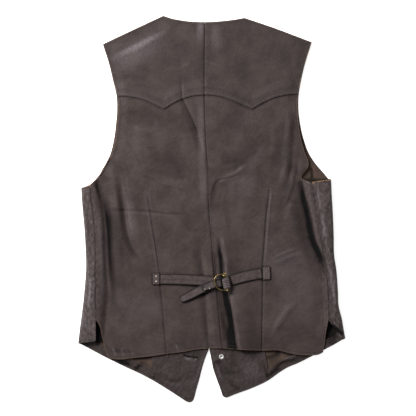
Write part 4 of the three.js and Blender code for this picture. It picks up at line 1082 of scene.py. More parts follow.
@dataclass(frozen=True)
class PlasticFinish:
    """Compression-moulded polyester: dark, glossy, with faint swirls of pigment."""

    name: str
    base: str
    swirl: str
    roughness: float = 0.28
    swirl_mm: float = 5.0

    def material(self) -> bpy.types.Material:
        """Build the shader: swirled pigment under an even gloss.

        Returns:
            The new material.
        """
        material, tree, output = new_material(self.name)
        place = add_node(tree, "TexCoord").outputs["Object"]
        swirl = add_node(tree, "TexNoise", {
            "Vector": place, "Scale": 1 / MM / self.swirl_mm, "Detail": 4.0, "Distortion": 2.0})
        colour = add_node(tree, "Mix", {
            SHARE: swirl.outputs["Fac"], FIRST: srgb(self.base), SECOND: srgb(self.swirl)}, data_type="RGBA")
        shader = add_node(tree, "BsdfPrincipled", {
            "Base Color": colour.outputs[COLOUR], "Roughness": self.roughness})
        tree.links.new(shader.outputs[0], output.inputs[0])
        return material


@dataclass(frozen=True)
class ThreadFinish:
    """Bonded polyester thread: twisted, slightly lighter than the leather it sinks into."""

    name: str
    colour: str
    pale: str
    twist_mm: float = 0.8

    def material(self) -> bpy.types.Material:
        """Build the shader: a twist drawn as fine bands, with a low sheen.

        Returns:
            The new material.
        """
        material, tree, output = new_material(self.name)
        place = add_node(tree, "TexCoord").outputs["Object"]
        twist = add_node(tree, "TexNoise", {
            "Vector": place, "Scale": 1 / MM / self.twist_mm, "Detail": 2.0})
        colour = add_node(tree, "Mix", {
            SHARE: twist.outputs["Fac"], FIRST: srgb(self.colour), SECOND: srgb(self.pale)}, data_type="RGBA")
        shader = add_node(tree, "BsdfPrincipled", {
            "Base Color": colour.outputs[COLOUR], "Roughness": 0.6})
        tree.links.new(shader.outputs[0], output.inputs[0])
        return material


class Finish(Enum):
    """The materials of the vest, each built once when it is first asked for."""

    # Each leather finish: dye, paler dye, painted shade and seam colour, painted sheen colour, and worn
    # colour
    YOKE = LeatherFinish("waxed_cowhide_yoke", "322a28", "443b39", "140b07", "7a7074", "7c6350",
                         wrinkle_depth_mm=0.14)
    BODY = LeatherFinish("waxed_cowhide_body", "352c2a", "473d3b", "140b07", "6c6265", "624d40",
                         wrinkle_mm=12.0, wrinkle_depth_mm=0.13)
    SIDE = LeatherFinish("waxed_cowhide_side", "352d2b", "524947", "140b07", "8b8285", "866a54",
                         mottle_mm=9.0, wrinkle_mm=7.0, wrinkle_depth_mm=0.4, stretch=0.45)
    FACING = LeatherFinish("thin_dyed_sheepskin", "2d2624", "3f3635", "140b07", "6a6264", "5a463a",
                           mottle_mm=16.0, wrinkle_mm=11.0, wrinkle_depth_mm=0.32)
    STRAP = LeatherFinish("waxed_strap_leather", "362d2b", "4e4442", "140b07", "857b7d", "6a5343",
                          mottle_mm=10.0, wrinkle_mm=8.0, wrinkle_depth_mm=0.1)
    FLESH = FleshFinish("flesh_side_of_hide", "3a2f2a", "54443b")
    BRASS = MetalFinish("drawn_brass_aged", "9a885c", "54462e", 0.38)
    TACK = MetalFinish("dulled_tack_heads", "cbc3b9", "94897f", 0.45)
    NICKEL = MetalFinish("turned_nickel", "f2f1ee", "d2d1cd", 0.42)
    BUTTON = PlasticFinish("moulded_polyester_dark", "1d1613", "35281f")
    THREAD = ThreadFinish("bonded_polyester_thread", "231c1a", "3d3532")
    WORN_THREAD = ThreadFinish("worn_tan_thread", "4f423a", "857569")

    def material(self) -> bpy.types.Material:
        """Return the finish's material, and build it the first time."""
        return bpy.data.materials.get(self.value.name) or self.value.material()


def dress(piece: bpy.types.Object, finishes: Sequence[Finish],
          replaces: Sequence[str] = ()) -> None:
    """Give a piece its materials and tell the frame what it is.

    Args:
        piece: the finished object.
        finishes: one finish for each material index of its faces.
        replaces: the CAD nodes that the piece stands for.
    """
    for finish in finishes:
        piece.data.materials.append(finish.material())
    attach(piece, "root")
    if replaces:
        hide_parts(*replaces)
    LOG.info("%s: %d faces", piece.name, len(piece.data.polygons))


def make_object(name: str, points: Array, faces: Sequence | Array, indices: Array | None = None,
                sharp_degrees: float = 50.0, attributes: dict[str, Array] | None = None) -> bpy.types.Object:
    """Make a smooth-shaded mesh object from points in millimetres.

    Args:
        name: the object's name.
        points: its points, an array of n by 3.
        faces: its faces, as point numbers.
        indices: the material index of each face.
        sharp_degrees: edges that turn more than this are shaded sharp.
        attributes: a value at each point for each named attribute.

    Returns:
        The new object, linked to the scene.
    """
    mesh = bpy.data.meshes.new(name)
    mesh.from_pydata((points * MM).tolist(), [], faces.tolist() if isinstance(faces, Array) else faces)
    mesh.polygons.foreach_set("use_smooth", np.ones(len(mesh.polygons), dtype=bool))
    if indices is not None:
        mesh.polygons.foreach_set("material_index", indices.astype(np.int32))
    for label, values in (attributes or {}).items():
        layer = mesh.attributes.new(label, "FLOAT", "POINT")
        layer.data.foreach_set("value", values.astype(np.float32))
    mesh.set_sharp_from_angle(angle=math.radians(sharp_degrees))
    mesh.update()
    piece = bpy.data.objects.new(name, mesh)
    bpy.context.scene.collection.objects.link(piece)
    return piece


@dataclass
class Hide:
    """One cut piece of leather, given by the points of its outer face."""

    name: str
    points: Array
    quads: Array
    thickness: float = LEATHER
    # Per point: how dark it is painted for seam lines and shade, how worn it is, and how much painted sheen
    # it has
    crease: Array | None = None
    wear: Array | None = None
    painted_sheen: Array | None = None

    def border(self) -> tuple[Array, Array]:
        """Find the cut edge.

        Returns:
            The edges that only one quad has, and the number of that quad.
        """
        edges = np.concatenate([self.quads[:, [i, (i + 1) % 4]] for i in range(4)])
        owner = np.tile(np.arange(len(self.quads)), 4)
        low, high = edges.min(axis=1), edges.max(axis=1)
        _, first, counts = np.unique(low * len(self.points) + high, return_index=True, return_counts=True)
        single = first[counts == 1]
        return edges[single], owner[single]

    def edge_wear(self, reach: float) -> Array:
        """Find the leather near the cut edge.

        Args:
            reach: how far from the edge the wear goes.

        Returns:
            1 at each point of the edge, fading to 0 at the reach.
        """
        edges, _ = self.border()
        rim = np.unique(edges)
        tree = KDTree(len(rim))
        for i in rim:
            tree.insert(self.points[i], int(i))
        tree.balance()
        gaps = np.array([tree.find(point)[2] for point in self.points])
        return np.clip(1 - gaps / reach, 0.0, 1.0)

    def build(self) -> bpy.types.Object:
        """Close the outer face, an inner face and a rounded rim into one mesh.

        Returns:
            The new object.
        """
        inner = self.points - mesh_normals(self.points, self.quads) * self.thickness
        edges, owner = self.border()
        ends = np.unique(edges)
        centres = self.points[self.quads].mean(axis=1)[owner]
        away = np.zeros_like(self.points)
        outward = self.points[edges].mean(axis=1) - centres
        along = self.points[edges[:, 1]] - self.points[edges[:, 0]]
        along /= np.linalg.norm(along, axis=1, keepdims=True)
        outward -= along * np.sum(outward * along, axis=1, keepdims=True)
        outward /= np.linalg.norm(outward, axis=1, keepdims=True)
        np.add.at(away, edges[:, 0], outward)
        np.add.at(away, edges[:, 1], outward)
        away = away[ends] / np.linalg.norm(away[ends], axis=1, keepdims=True)
        bulge = 0.18 * self.thickness
        middle = (self.points[ends] + inner[ends]) / 2 + away * bulge
        count = len(self.points)
        ring = np.zeros(count, dtype=int)
        ring[ends] = 2 * count + np.arange(len(ends))
        a, b = edges[:, 0], edges[:, 1]
        upper = np.stack((b, a, ring[a], ring[b]), axis=1)
        lower = np.stack((ring[b], ring[a], a + count, b + count), axis=1)
        faces = np.concatenate((self.quads, upper, lower, self.quads[:, ::-1] + count))
        indices = np.zeros(len(faces), dtype=int)
        indices[len(faces) - len(self.quads):] = 1
        points = np.concatenate((self.points, inner, middle))
        corners = points[faces]
        volume = np.sum(corners[:, 0] * np.cross(corners[:, 1], corners[:, 2]))
        volume += np.sum(corners[:, 0] * np.cross(corners[:, 2], corners[:, 3]))
        if volume < 0:
            faces = faces[:, ::-1]
        attributes = {}
        for label, values in (("crease", self.crease), ("wear", self.wear), ("painted_sheen", self.painted_sheen)):
            values = np.zeros(count) if values is None else values
            attributes[label] = np.concatenate((values, values, values[ends]))
        return make_object(f"leather_{self.name}", points, faces, indices, attributes=attributes)


@dataclass
class BackHalf:
    """Half of the back: its part of the yoke, and the panel that the yoke laps over."""

    side: str
    lines: Sequence[Callable]
    widths: Sequence[float]
    yoke_area: float
    panel_area: float
    row_step: float = 2.3
    column_step: float = 2.4
    yoke_drop: float = 150.0
    panel_drop: float = 482.0
    worn: float = 0.8
    wear_reach: float = 2.6

    def columns(self) -> list[list[float]]:
        """Return the column shares of each span, close beside its lines."""
        last = len(self.widths) - 1
        return [shares_by_step(width, self.column_step, CLOSE if width > 14 else (), i == last)
                for i, width in enumerate(self.widths)]

    def hide(self, name: str, runs: Sequence[Run], height: Height) -> Hide:
        """Lay out a piece of the back with its seam lines, its painted shade and painted sheen, and its wear.

        Args:
            name: the name of the cut piece.
            runs: its rows, in order down the piece.
            height: the height of its outer face over its plan.

        Returns:
            The cut piece.
        """
        x, y = plan_grid(self.lines, self.columns(), runs)
        quads = grid_quads(*x.shape)[:, ::-1]
        x, y = x.ravel(), y.ravel()
        hide = Hide(name, np.stack((x, y, height(x, y)), axis=1), quads)
        # Painted shade and painted light from the tables, and painted shade and highlight on the crumples at
        # the sides
        dark, pale = painted_light_at(BACK_SHADE_AND_LIGHT + PAINTED_CREASE_LINES, x, y)
        crumple_shade, crumple_highlight = side_crumple_shading(x, y)
        dark, pale = dark + crumple_shade, pale + crumple_highlight
        # The seam lines are the dark of the stitched seams; by the yoke's edge come a painted shadow under
        # the lapped edge, painted shade along the step over the panel and a painted highlight just above the
        # edge
        seams = sum(fold.strength(x, y) ** 3 for fold in FOLDS if fold.name.endswith(("stitching", "seam")))
        above = y - YOKE_EDGE(x)
        lap_step_shade, lap_edge_shadow, lap_highlight = band(above, 12.5, 2.6), band(above, -2.0, 2.5), band(above, 4.0, 3.5)
        hide.crease = np.clip(0.6 * seams + dark + 0.22 * lap_step_shade + 0.4 * lap_edge_shadow, 0, 1)
        hide.painted_sheen = np.clip(pale + 0.07 * lap_highlight, 0, 1) * (1 - hide.crease)
        from_seam = np.minimum.reduce([np.abs(x - line(y)) for line in (CENTRE_SEAM, LEFT_SIDE, RIGHT_SIDE)])
        at_yoke = 0.2 + 0.8 * ease((np.abs(above - 2) - 6) / 4)
        hide.wear = self.worn * hide.edge_wear(self.wear_reach) * ease((from_seam - 1.5) / 3.0) * at_yoke
        return hide

    def build(self) -> None:
        """Build the yoke and the panel of this half."""
        yoke_rows = [
            Run(COLLAR_EDGE, lap_edge, shares_by_step(self.yoke_drop, self.row_step, CLOSE, True)),
            Run(lap_edge, YOKE_EDGE, (0.25, 0.5, 0.75, 0.9, 1.0)),
        ]
        panel_rows = [
            Run(lap_edge, YOKE_EDGE, (0.0, 0.5, 1.0)),
            Run(YOKE_EDGE, HEM_EDGE, shares_by_step(self.panel_drop, self.row_step, CLOSE, True)[1:]),
        ]
        yoke = self.hide(f"back_yoke_{self.side}", yoke_rows, yoke_height).build()
        panel = self.hide(f"back_panel_{self.side}", panel_rows, back_height).build()
        dress(yoke, (Finish.YOKE, Finish.FLESH), (f"back_yoke_{self.side}",))
        dress(panel, (Finish.BODY, Finish.FLESH), (f"back_panel_{self.side}",))


@dataclass
class CentreAllowance:
    """The pared seam allowance under the centre seam, which lets no light come up through it."""

    half_width: float = 6.0
    thickness: float = 0.35
    below: float = 0.1
    beyond: float = 3.0
    rows: int = 240
    columns: int = 7

    def build(self) -> None:
        """Lay the allowance from collar to hem, just under the back's two halves."""
        collar_x, hem_x = CENTRE[0][1], CENTRE[-1][1]
        y = np.linspace(float(COLLAR_EDGE(collar_x)) - self.beyond, float(HEM_EDGE(hem_x)) + self.beyond,
                        self.rows)[:, None]
        x = CENTRE_SEAM(y) + np.linspace(-self.half_width, self.half_width, self.columns)[None, :]
        y = np.broadcast_to(y, x.shape)
        top = back_height(x, y) - LEATHER - self.below
        points = np.stack((x.ravel(), y.ravel(), top.ravel()), axis=1)
        piece = Hide("centre_seam_allowance", points, grid_quads(*x.shape)[:, ::-1], self.thickness).build()
        dress(piece, (Finish.BODY, Finish.FLESH))


def beside_seam(edge: Line, start_y: float, offset: float) -> Callable:
    """Return an edge that stands off from its line below the height at which the seam starts."""
    return lambda y: edge(y) + np.where(np.asarray(y) < start_y, offset, 0.0)


def beside_centre(offset: float) -> Callable:
    """Return the centre seam's line, moved to one side."""
    return lambda y: CENTRE_SEAM(y) + offset


@dataclass
class Front:
    """One front: flat on the surface from its opening to its side, then turned over the side.

    outward is -1 for the left front and 1 for the right one.
    """

    side: str
    outward: int
    fold: Line
    armhole: Line
    opening: Line
    hem: Line
    facing_edge: Line
    seam: Line
    armpit: float
    strip_top: float
    strip_foot: float
    strip_curve: float
    area: float
    facing_area: float
    hem_facing_area: float
    drop: float = 620.0
    row_step: float = 3.4
    spans: Rows = ((120, 2.8), (66, 3.4), (40, 2.6))
    hem_share: float = 0.966
    turn_steps: int = 14
    crumpled: float = 0.22
    rows: list[float] = field(init=False)
    plan: tuple[Array, Array] = field(init=False)
    facing_column: int = field(init=False)

    def __post_init__(self) -> None:
        """Lay out the plan of the front's floor run."""
        last = self.spans[-1]
        columns = [shares_by_step(width, step, CLOSE, (width, step) == last) for width, step in self.spans]
        corner = self.outer(self.armpit)
        share = float((COLLAR_EDGE(corner) - self.armpit) / (COLLAR_EDGE(corner) - self.hem(corner)))
        above = share * np.array(shares_by_step(share * self.drop, self.row_step))
        lower = shares_by_step((1 - share) * self.drop, self.row_step, CLOSE, True)
        below = share + (1 - share) * np.array(lower)
        self.rows = [*above, *below]
        lines = [self.outer, self.facing_edge, self.beside_opening, self.opening]
        self.plan = plan_grid(lines, columns, [Run(COLLAR_EDGE, self.hem, self.rows)])
        self.facing_column = len(columns[0])

    def outer(self, y: Array) -> Array:
        """Return the outer limit of the floor run: the armhole, or where the side starts to turn."""
        y = np.asarray(y, dtype=float)
        return np.where(y < self.armpit, self.fold(y) - self.outward * TURN, self.armhole(y))

    def beside_opening(self, y: Array) -> Array:
        """Find the line that keeps a set distance from the opening edge.

        Args:
            y: where to read it.

        Returns:
            Its x at each y.
        """
        top, foot = OPENING_CORNERS
        distance, follows = self.spans[-1][0], 0.8
        straight = self.opening(np.clip(y, foot, top))
        return straight + self.outward * distance + (self.opening(y) - straight) * follows

    def lift(self, x: Array, y: Array) -> Array:
        """Return how far the front's outer face is off the surface."""
        return button_lift(x, y) if self.outward > 0 else np.zeros_like(x)

    def shell(self) -> Hide:
        """Lay out the front's leather: the floor run, the turn at the side and the strip over the back.

        Returns:
            The cut piece.
        """
        x, y = self.plan
        row_count, width = x.shape
        quads = [grid_quads(row_count, width)]
        floor = np.stack((x.ravel(), y.ravel(), self.lift(x, y).ravel()), axis=1)
        first = int(np.flatnonzero(y[:, 0] <= self.armpit + 0.01)[0])
        start = y[first:, 0]
        seam_y = mix(self.strip_top, self.strip_foot, (start[0] - start) / (start[0] - start[-1]))
        ring_count = 2 * self.turn_steps
        share = (np.arange(1, ring_count + 1) / ring_count)[:, None]
        ring_y = mix(start[None, :], seam_y[None, :], share ** self.strip_curve)
        centre_x = self.fold(ring_y) - self.outward * TURN
        angle = np.pi * np.minimum(2 * share, 1.0)
        over = np.maximum(2 * share - 1, 0.0)
        ring_x = mix(centre_x, self.seam(ring_y) + self.outward * SEAM / 2, over)
        top = back_height(ring_x, ring_y)
        ring_x = ring_x + self.outward * TURN * np.sin(angle)
        ring_z = np.where(over > 0, top, top / 2 * (1 - np.cos(angle)))
        previous = np.arange(first, row_count) * width
        for k in range(ring_count):
            here = row_count * width + k * len(start) + np.arange(len(start))
            quads.append(np.stack((previous[:-1], previous[1:], here[1:], here[:-1]), axis=1))
            previous = here
        points = np.concatenate((floor, np.stack((ring_x, ring_y, ring_z), axis=-1).reshape(-1, 3)))
        faces = np.concatenate(quads)
        hide = Hide(f"front_{self.side}", points, faces[:, ::-1] if self.outward > 0 else faces)
        rim = ease((points[:, 1] - self.strip_top + 9) / 6) + 0.35 * ease((-points[:, 1] - 200) / 40)
        hide.wear = hide.edge_wear(4.0) * np.clip(rim, 0, 1)
        # Painted shade and painted light on the front, painted shade under the vents on its floor run, and
        # painted shade and highlight on the crumples at the sides; the line beside the side seam is the
        # seam's own dark
        dark, pale = painted_light_at(FRONT_SHADE_AND_LIGHT, points[:, 0], points[:, 1])
        dark += painted_light_at(VENT_SHADE, points[:, 0], points[:, 1])[0] * (points[:, 2] < 3)
        crumple_shade, crumple_highlight = side_crumple_shading(points[:, 0], points[:, 1])
        dark, pale = dark + crumple_shade, pale + crumple_highlight
        beside = (np.abs(points[:, 0] - self.seam(points[:, 1])) < 1.6) & (points[:, 2] > 3)
        hide.crease = np.clip(dark + 0.6 * beside, 0, 1)
        hide.painted_sheen = np.clip(pale, 0, 1) * (1 - hide.crease)
        return hide

    def facing(self, name: str, row_from: int, column_from: int, column_to: int, inset: float = 0.0) -> Hide:
        """Lay a lining of thin leather over some of the front's rows and columns.

        Args:
            name: the name of the cut piece.
            row_from: the first row; it goes on to the hem.
            column_from, column_to: the first and the last column.
            inset: how far short of its last column the lining ends.

        Returns:
            The cut piece.
        """
        x, y = (part[row_from:, column_from:column_to + 1].copy() for part in self.plan)
        x[:, -1] += self.outward * inset
        quads = grid_quads(*x.shape)[:, ::-self.outward]
        outer = np.stack((x.ravel(), y.ravel(), self.lift(x, y).ravel()), axis=1)
        hide = Hide(name, outer - mesh_normals(outer, quads) * (LEATHER + GAP), quads, FACING)
        at = hide.points
        loose = ease((-252 - at[:, 1]) / 16)
        at[:, 2] += loose * (0.5 + 0.5 * crumple(at[:, 0], at[:, 1], 11.0, 9))
        hide.wear = (0.25 + 0.3 * loose) * hide.edge_wear(2.6)
        # Painted shade and painted light on the lining, with painted shade in the hollows and painted glints
        # on the crests of its crumples at the hem, and a darker band along the hem
        dark, pale = painted_light_at(FRONT_SHADE_AND_LIGHT, at[:, 0], at[:, 1])
        flecks = sum(crumple(at[:, 0], at[:, 1], wave, seed) for wave, seed in ((9.0, 4), (5.0, 6)))
        flecks = self.crumpled * loose * flecks
        beside_hem = band(at[:, 1] - self.hem(at[:, 0]), 6.5, 1.8) * loose
        dark, pale = dark + np.maximum(-flecks, 0) + 0.35 * beside_hem, pale + np.maximum(flecks, 0)
        hide.crease = np.clip(dark, 0, 1)
        hide.painted_sheen = np.clip(pale, 0, 1) * (1 - hide.crease)
        return hide

    def cut_holes(self, piece: bpy.types.Object, shift: float) -> None:
        """Cut the buttonholes through a piece, each a narrow lens.

        Args:
            piece: the front or its facing.
            shift: how far the layer has slipped, so that no light comes straight through both.
        """
        turn = np.linspace(0, 2 * np.pi, HOLE_SIDES + 1)[:-1]
        slope, below, above = 0.18, -2.0, 6.0
        across = HOLE_WIDTH / 2 * np.sin(turn) + shift
        lean = slope * HOLE_LENGTH / 2 * np.cos(turn)
        for y in BUTTON_YS:
            rings = [np.stack((HOLE_X + HOLE_LENGTH / 2 * np.cos(turn), y + across - lean,
                               np.full(HOLE_SIDES, z)), axis=1) for z in (below, above)]
            cutter = loft("hole_cutter", np.array(rings))
            tool = piece.modifiers.new("hole", "BOOLEAN")
            tool.operation = "DIFFERENCE"
            tool.solver = "EXACT"
            tool.object = cutter
            graph = bpy.context.evaluated_depsgraph_get()
            cut = bpy.data.meshes.new_from_object(piece.evaluated_get(graph))
            piece.modifiers.clear()
            piece.data = cut
            bpy.data.objects.remove(cutter)

    def build(self) -> None:
        """Build the front, its facing and its hem facing."""
        width = self.plan[0].shape[1]
        hem_row = next(i for i, share in enumerate(self.rows) if share > self.hem_share)
        shell = self.shell().build()
        facing = self.facing(f"facing_{self.side}", 0, self.facing_column, width - 1).build()
        hem_facing = self.facing(f"hem_facing_{self.side}", hem_row, 0, self.facing_column, GAP).build()
        if self.outward < 0:
            self.cut_holes(shell, 1.1)
            self.cut_holes(facing, -0.9)
        dress(shell, (Finish.SIDE, Finish.FLESH), (f"front_{self.side}",))
        dress(facing, (Finish.FLESH, Finish.FACING), (f"facing_{self.side}",))
        dress(hem_facing, (Finish.FLESH, Finish.FACING), (f"hem_facing_{self.side}",))


def loft(name: str, sections: Array, attributes: dict[str, Array] | None = None,
         sharp_degrees: float = 55.0) -> bpy.types.Object:
    """Join rings of points into a closed solid.

    Args:
        name: the object's name.
        sections: an array of rings by points by 3.
        attributes: a value at each point for each named attribute.
        sharp_degrees: edges that turn more than this are shaded sharp.

    Returns:
        The new object.
    """
    rings, count, _ = sections.shape
    index = np.arange(rings * count).reshape(rings, count)
    ahead = np.roll(index, -1, axis=1)
    sides = np.stack((index[:-1], ahead[:-1], ahead[1:], index[1:]), axis=-1).reshape(-1, 4)
    faces = [*sides.tolist(), index[0, ::-1].tolist(), index[-1].tolist()]
    return make_object(name, sections.reshape(-1, 3), faces, None, sharp_degrees, attributes)


def tube(path: Array, radius: float | Array, count: int = 16) -> Array:
    """Lay rings for a round bar along a path.

    Args:
        path: its points, in three dimensions.
        radius: the bar's radius, or one for each point.
        count: how many points a ring has.

    Returns:
        An array of rings by points by 3.
    """
    along = np.gradient(path, axis=0)
    along /= np.linalg.norm(along, axis=1, keepdims=True)
    side = np.cross(along, (0.0, 0.0, 1.0))
    side /= np.linalg.norm(side, axis=1, keepdims=True)
    up = np.cross(side, along)
    angle = np.linspace(0, 2 * np.pi, count, endpoint=False)[None, :, None]
    radius = np.broadcast_to(radius, len(path))[:, None, None]
    return path[:, None] + radius * (side[:, None] * np.cos(angle) + up[:, None] * np.sin(angle))


def offset_path(path: Array, distance: float) -> Array:
    """Return a plan path moved to its left by a distance."""
    along = np.gradient(path, axis=0)
    along /= np.linalg.norm(along, axis=1, keepdims=True)
    return path + distance * np.stack((-along[:, 1], along[:, 0]), axis=1)


@dataclass
class Sewing:
    """Rows of machine stitches, each stitch a bead of thread that dips into the leather at its ends.

    A real stitch is about 0.5 mm thick; it is drawn 0.9 mm thick so that it shows.
    """

    name: str
    slot: str
    pitch: float = 4.2
    length: float = 3.2
    radius: float = 0.45
    proud: float = 0.12
    sides: int = 6
    finish: Finish = Finish.THREAD
    beads: list[Array] = field(default_factory=list)

    def row(self, path: Array, height: Height) -> None:
        """Sew a row of stitches.

        Args:
            path: the plan path that it follows.
            height: the height of the leather under it.
        """
        lengths = run_lengths(path)
        count = int(lengths[-1] // self.pitch)
        middles = (np.arange(count) + 0.5) * lengths[-1] / max(count, 1)
        for start, end in zip(middles - self.length / 2, middles + self.length / 2):
            at = np.linspace(start, end, len(SWELL))
            x = np.interp(at, lengths, path[:, 0])
            y = np.interp(at, lengths, path[:, 1])
            self.beads.append(np.stack((x, y, height(x, y)), axis=1))

    def build(self) -> None:
        """Build every stitch of the piece as one mesh."""
        size = len(SWELL) * self.sides
        points, faces = [], []
        for bead in self.beads:
            rings = tube(bead + (0, 0, self.proud), self.radius * np.array(SWELL), self.sides)
            index = len(points) * size + np.arange(size).reshape(len(SWELL), self.sides)
            ahead = np.roll(index, -1, axis=1)
            faces += np.stack((index[:-1], ahead[:-1], ahead[1:], index[1:]), axis=-1).reshape(-1, 4).tolist()
            faces += [index[0, ::-1].tolist(), index[-1].tolist()]
            points.append(rings.reshape(-1, 3))
        piece = make_object(self.name, np.concatenate(points), faces, sharp_degrees=80.0)
        dress(piece, (self.finish,))


@dataclass
class Strap:
    """A strap over whatever lies under it, pulled taut between the high places.

    Rows of the path are x, y and the strap's width. lapped is how far along the strap the end of
    another piece lies on it and casts a painted shadow across it. pale is how much paler its top is
    painted as a highlight, and rim how far in from its edges their painted shade reaches.
    """

    name: str
    path: Rows
    under: Height
    thickness: float = BELT
    round_end: float = 0.0
    pale: float = 0.02
    rim: float = 1.3
    middle: float = 0.0
    dim: float = 0.0
    lapped: float = -100.0
    stations: Array = field(init=False)
    sides: Array = field(init=False)
    floor: Array = field(init=False)

    def __post_init__(self) -> None:
        """Lay the strap on what is under it."""
        bluntest, margin, settle_passes, bed = 0.985, 0.5, 600, 0.15
        self.stations = sample_path(self.path, 12)
        if self.round_end:
            lengths = run_lengths(self.stations)
            left = np.clip(1 - (lengths[-1] - lengths) / self.round_end, 0, bluntest)
            self.stations[:, 2] *= np.sqrt(1 - left**2)
        along = np.gradient(self.stations[:, :2], axis=0)
        along /= np.linalg.norm(along, axis=1, keepdims=True)
        self.sides = np.stack((-along[:, 1], along[:, 0]), axis=1)
        reach = np.linspace(-1, 1, 9)[None, :] * (self.stations[:, 2:3] / 2 + margin)
        x = self.stations[:, 0:1] + self.sides[:, 0:1] * reach
        y = self.stations[:, 1:2] + self.sides[:, 1:2] * reach
        z = self.under(x, y).max(axis=1)
        for _ in range(settle_passes):
            z[1:-1] = np.maximum(z[1:-1], (z[:-2] + z[2:]) / 2)
        self.floor = z + GAP + bed

    def top_at(self, x: Array, y: Array) -> Array:
        """Find the strap's top face.

        Args:
            x, y: where to read it.

        Returns:
            Its height, or a very low one where the strap isn't.
        """
        x, y = np.asarray(x, dtype=float), np.asarray(y, dtype=float)
        beside, beyond, nowhere = 0.8, 3.0, -1e3
        gap_x = x[..., None] - self.stations[:, 0]
        gap_y = y[..., None] - self.stations[:, 1]
        near = np.argmin(np.hypot(gap_x, gap_y), axis=-1)
        here_x = np.take_along_axis(gap_x, near[..., None], axis=-1)[..., 0]
        here_y = np.take_along_axis(gap_y, near[..., None], axis=-1)[..., 0]
        side = self.sides[near]
        across = np.abs(here_x * side[..., 0] + here_y * side[..., 1])
        along = np.abs(here_x * side[..., 1] - here_y * side[..., 0])
        on = (across < self.stations[near, 2] / 2 + beside) & (along < beyond)
        return np.where(on, self.floor[near] + self.thickness, nowhere)

    def build(self) -> None:
        """Build the strap with a crowned top, a creased line by each edge and rounded edges; its top is
        painted paler as a highlight, and its edges, its underside and where another piece ends on it are
        painted dark as shade.
        """
        top_count, foot_count = 23, 9
        across = np.concatenate((np.linspace(-1, 1, top_count), np.linspace(1, -1, foot_count)[1:-1]))
        on_top = np.arange(len(across)) < top_count
        near_edge = np.clip(1 - np.abs(np.abs(across) - 0.8) / 0.09, 0, 1) * on_top
        rise = np.where(on_top, self.thickness * (1 - 0.55 * np.abs(across) ** 14) - 0.22 * near_edge, 0.0)
        rise = np.where((~on_top) & (np.abs(across) > 0.9), 0.2, rise)
        half = self.stations[:, 2:3] / 2
        x = self.stations[:, 0:1] + self.sides[:, 0:1] * half * across
        y = self.stations[:, 1:2] + self.sides[:, 1:2] * half * across
        z = self.floor[:, None] + rise
        rings = np.stack((x, y, z), axis=-1)
        run = run_lengths(self.stations)
        ends = np.minimum(run, run[-1] - run)
        from_rim = np.minimum((1 - np.abs(across)) * half, ends[:, None])
        # Painted shade along the top's edges and ends and over the whole underside, and a painted shadow
        # where another piece ends on it
        edge_shade = np.where(on_top, 0.95 * ease(1.6 - from_rim / self.rim), 0.9)
        line = self.middle * band((across + 0.05) * half, 0.0, 1.6) * on_top
        shade = 0.9 * band(run[:, None], self.lapped, 2.2) * on_top
        crease = np.clip(0.4 * near_edge + edge_shade + line + shade + self.dim, 0, 1).ravel()
        # The top is painted paler towards its middle, a painted highlight
        painted_sheen = (self.pale * on_top * (1 - np.abs(across) ** 4) * np.ones_like(x)).ravel()
        wear = np.broadcast_to(np.clip((np.abs(across) - 0.88) / 0.12, 0, 1) * 0.3, x.shape).ravel()
        piece = loft(f"leather_{self.name}", rings, {"crease": crease, "wear": wear, "painted_sheen": painted_sheen}, 70.0)
        dress(piece, (Finish.STRAP,), (self.name,))


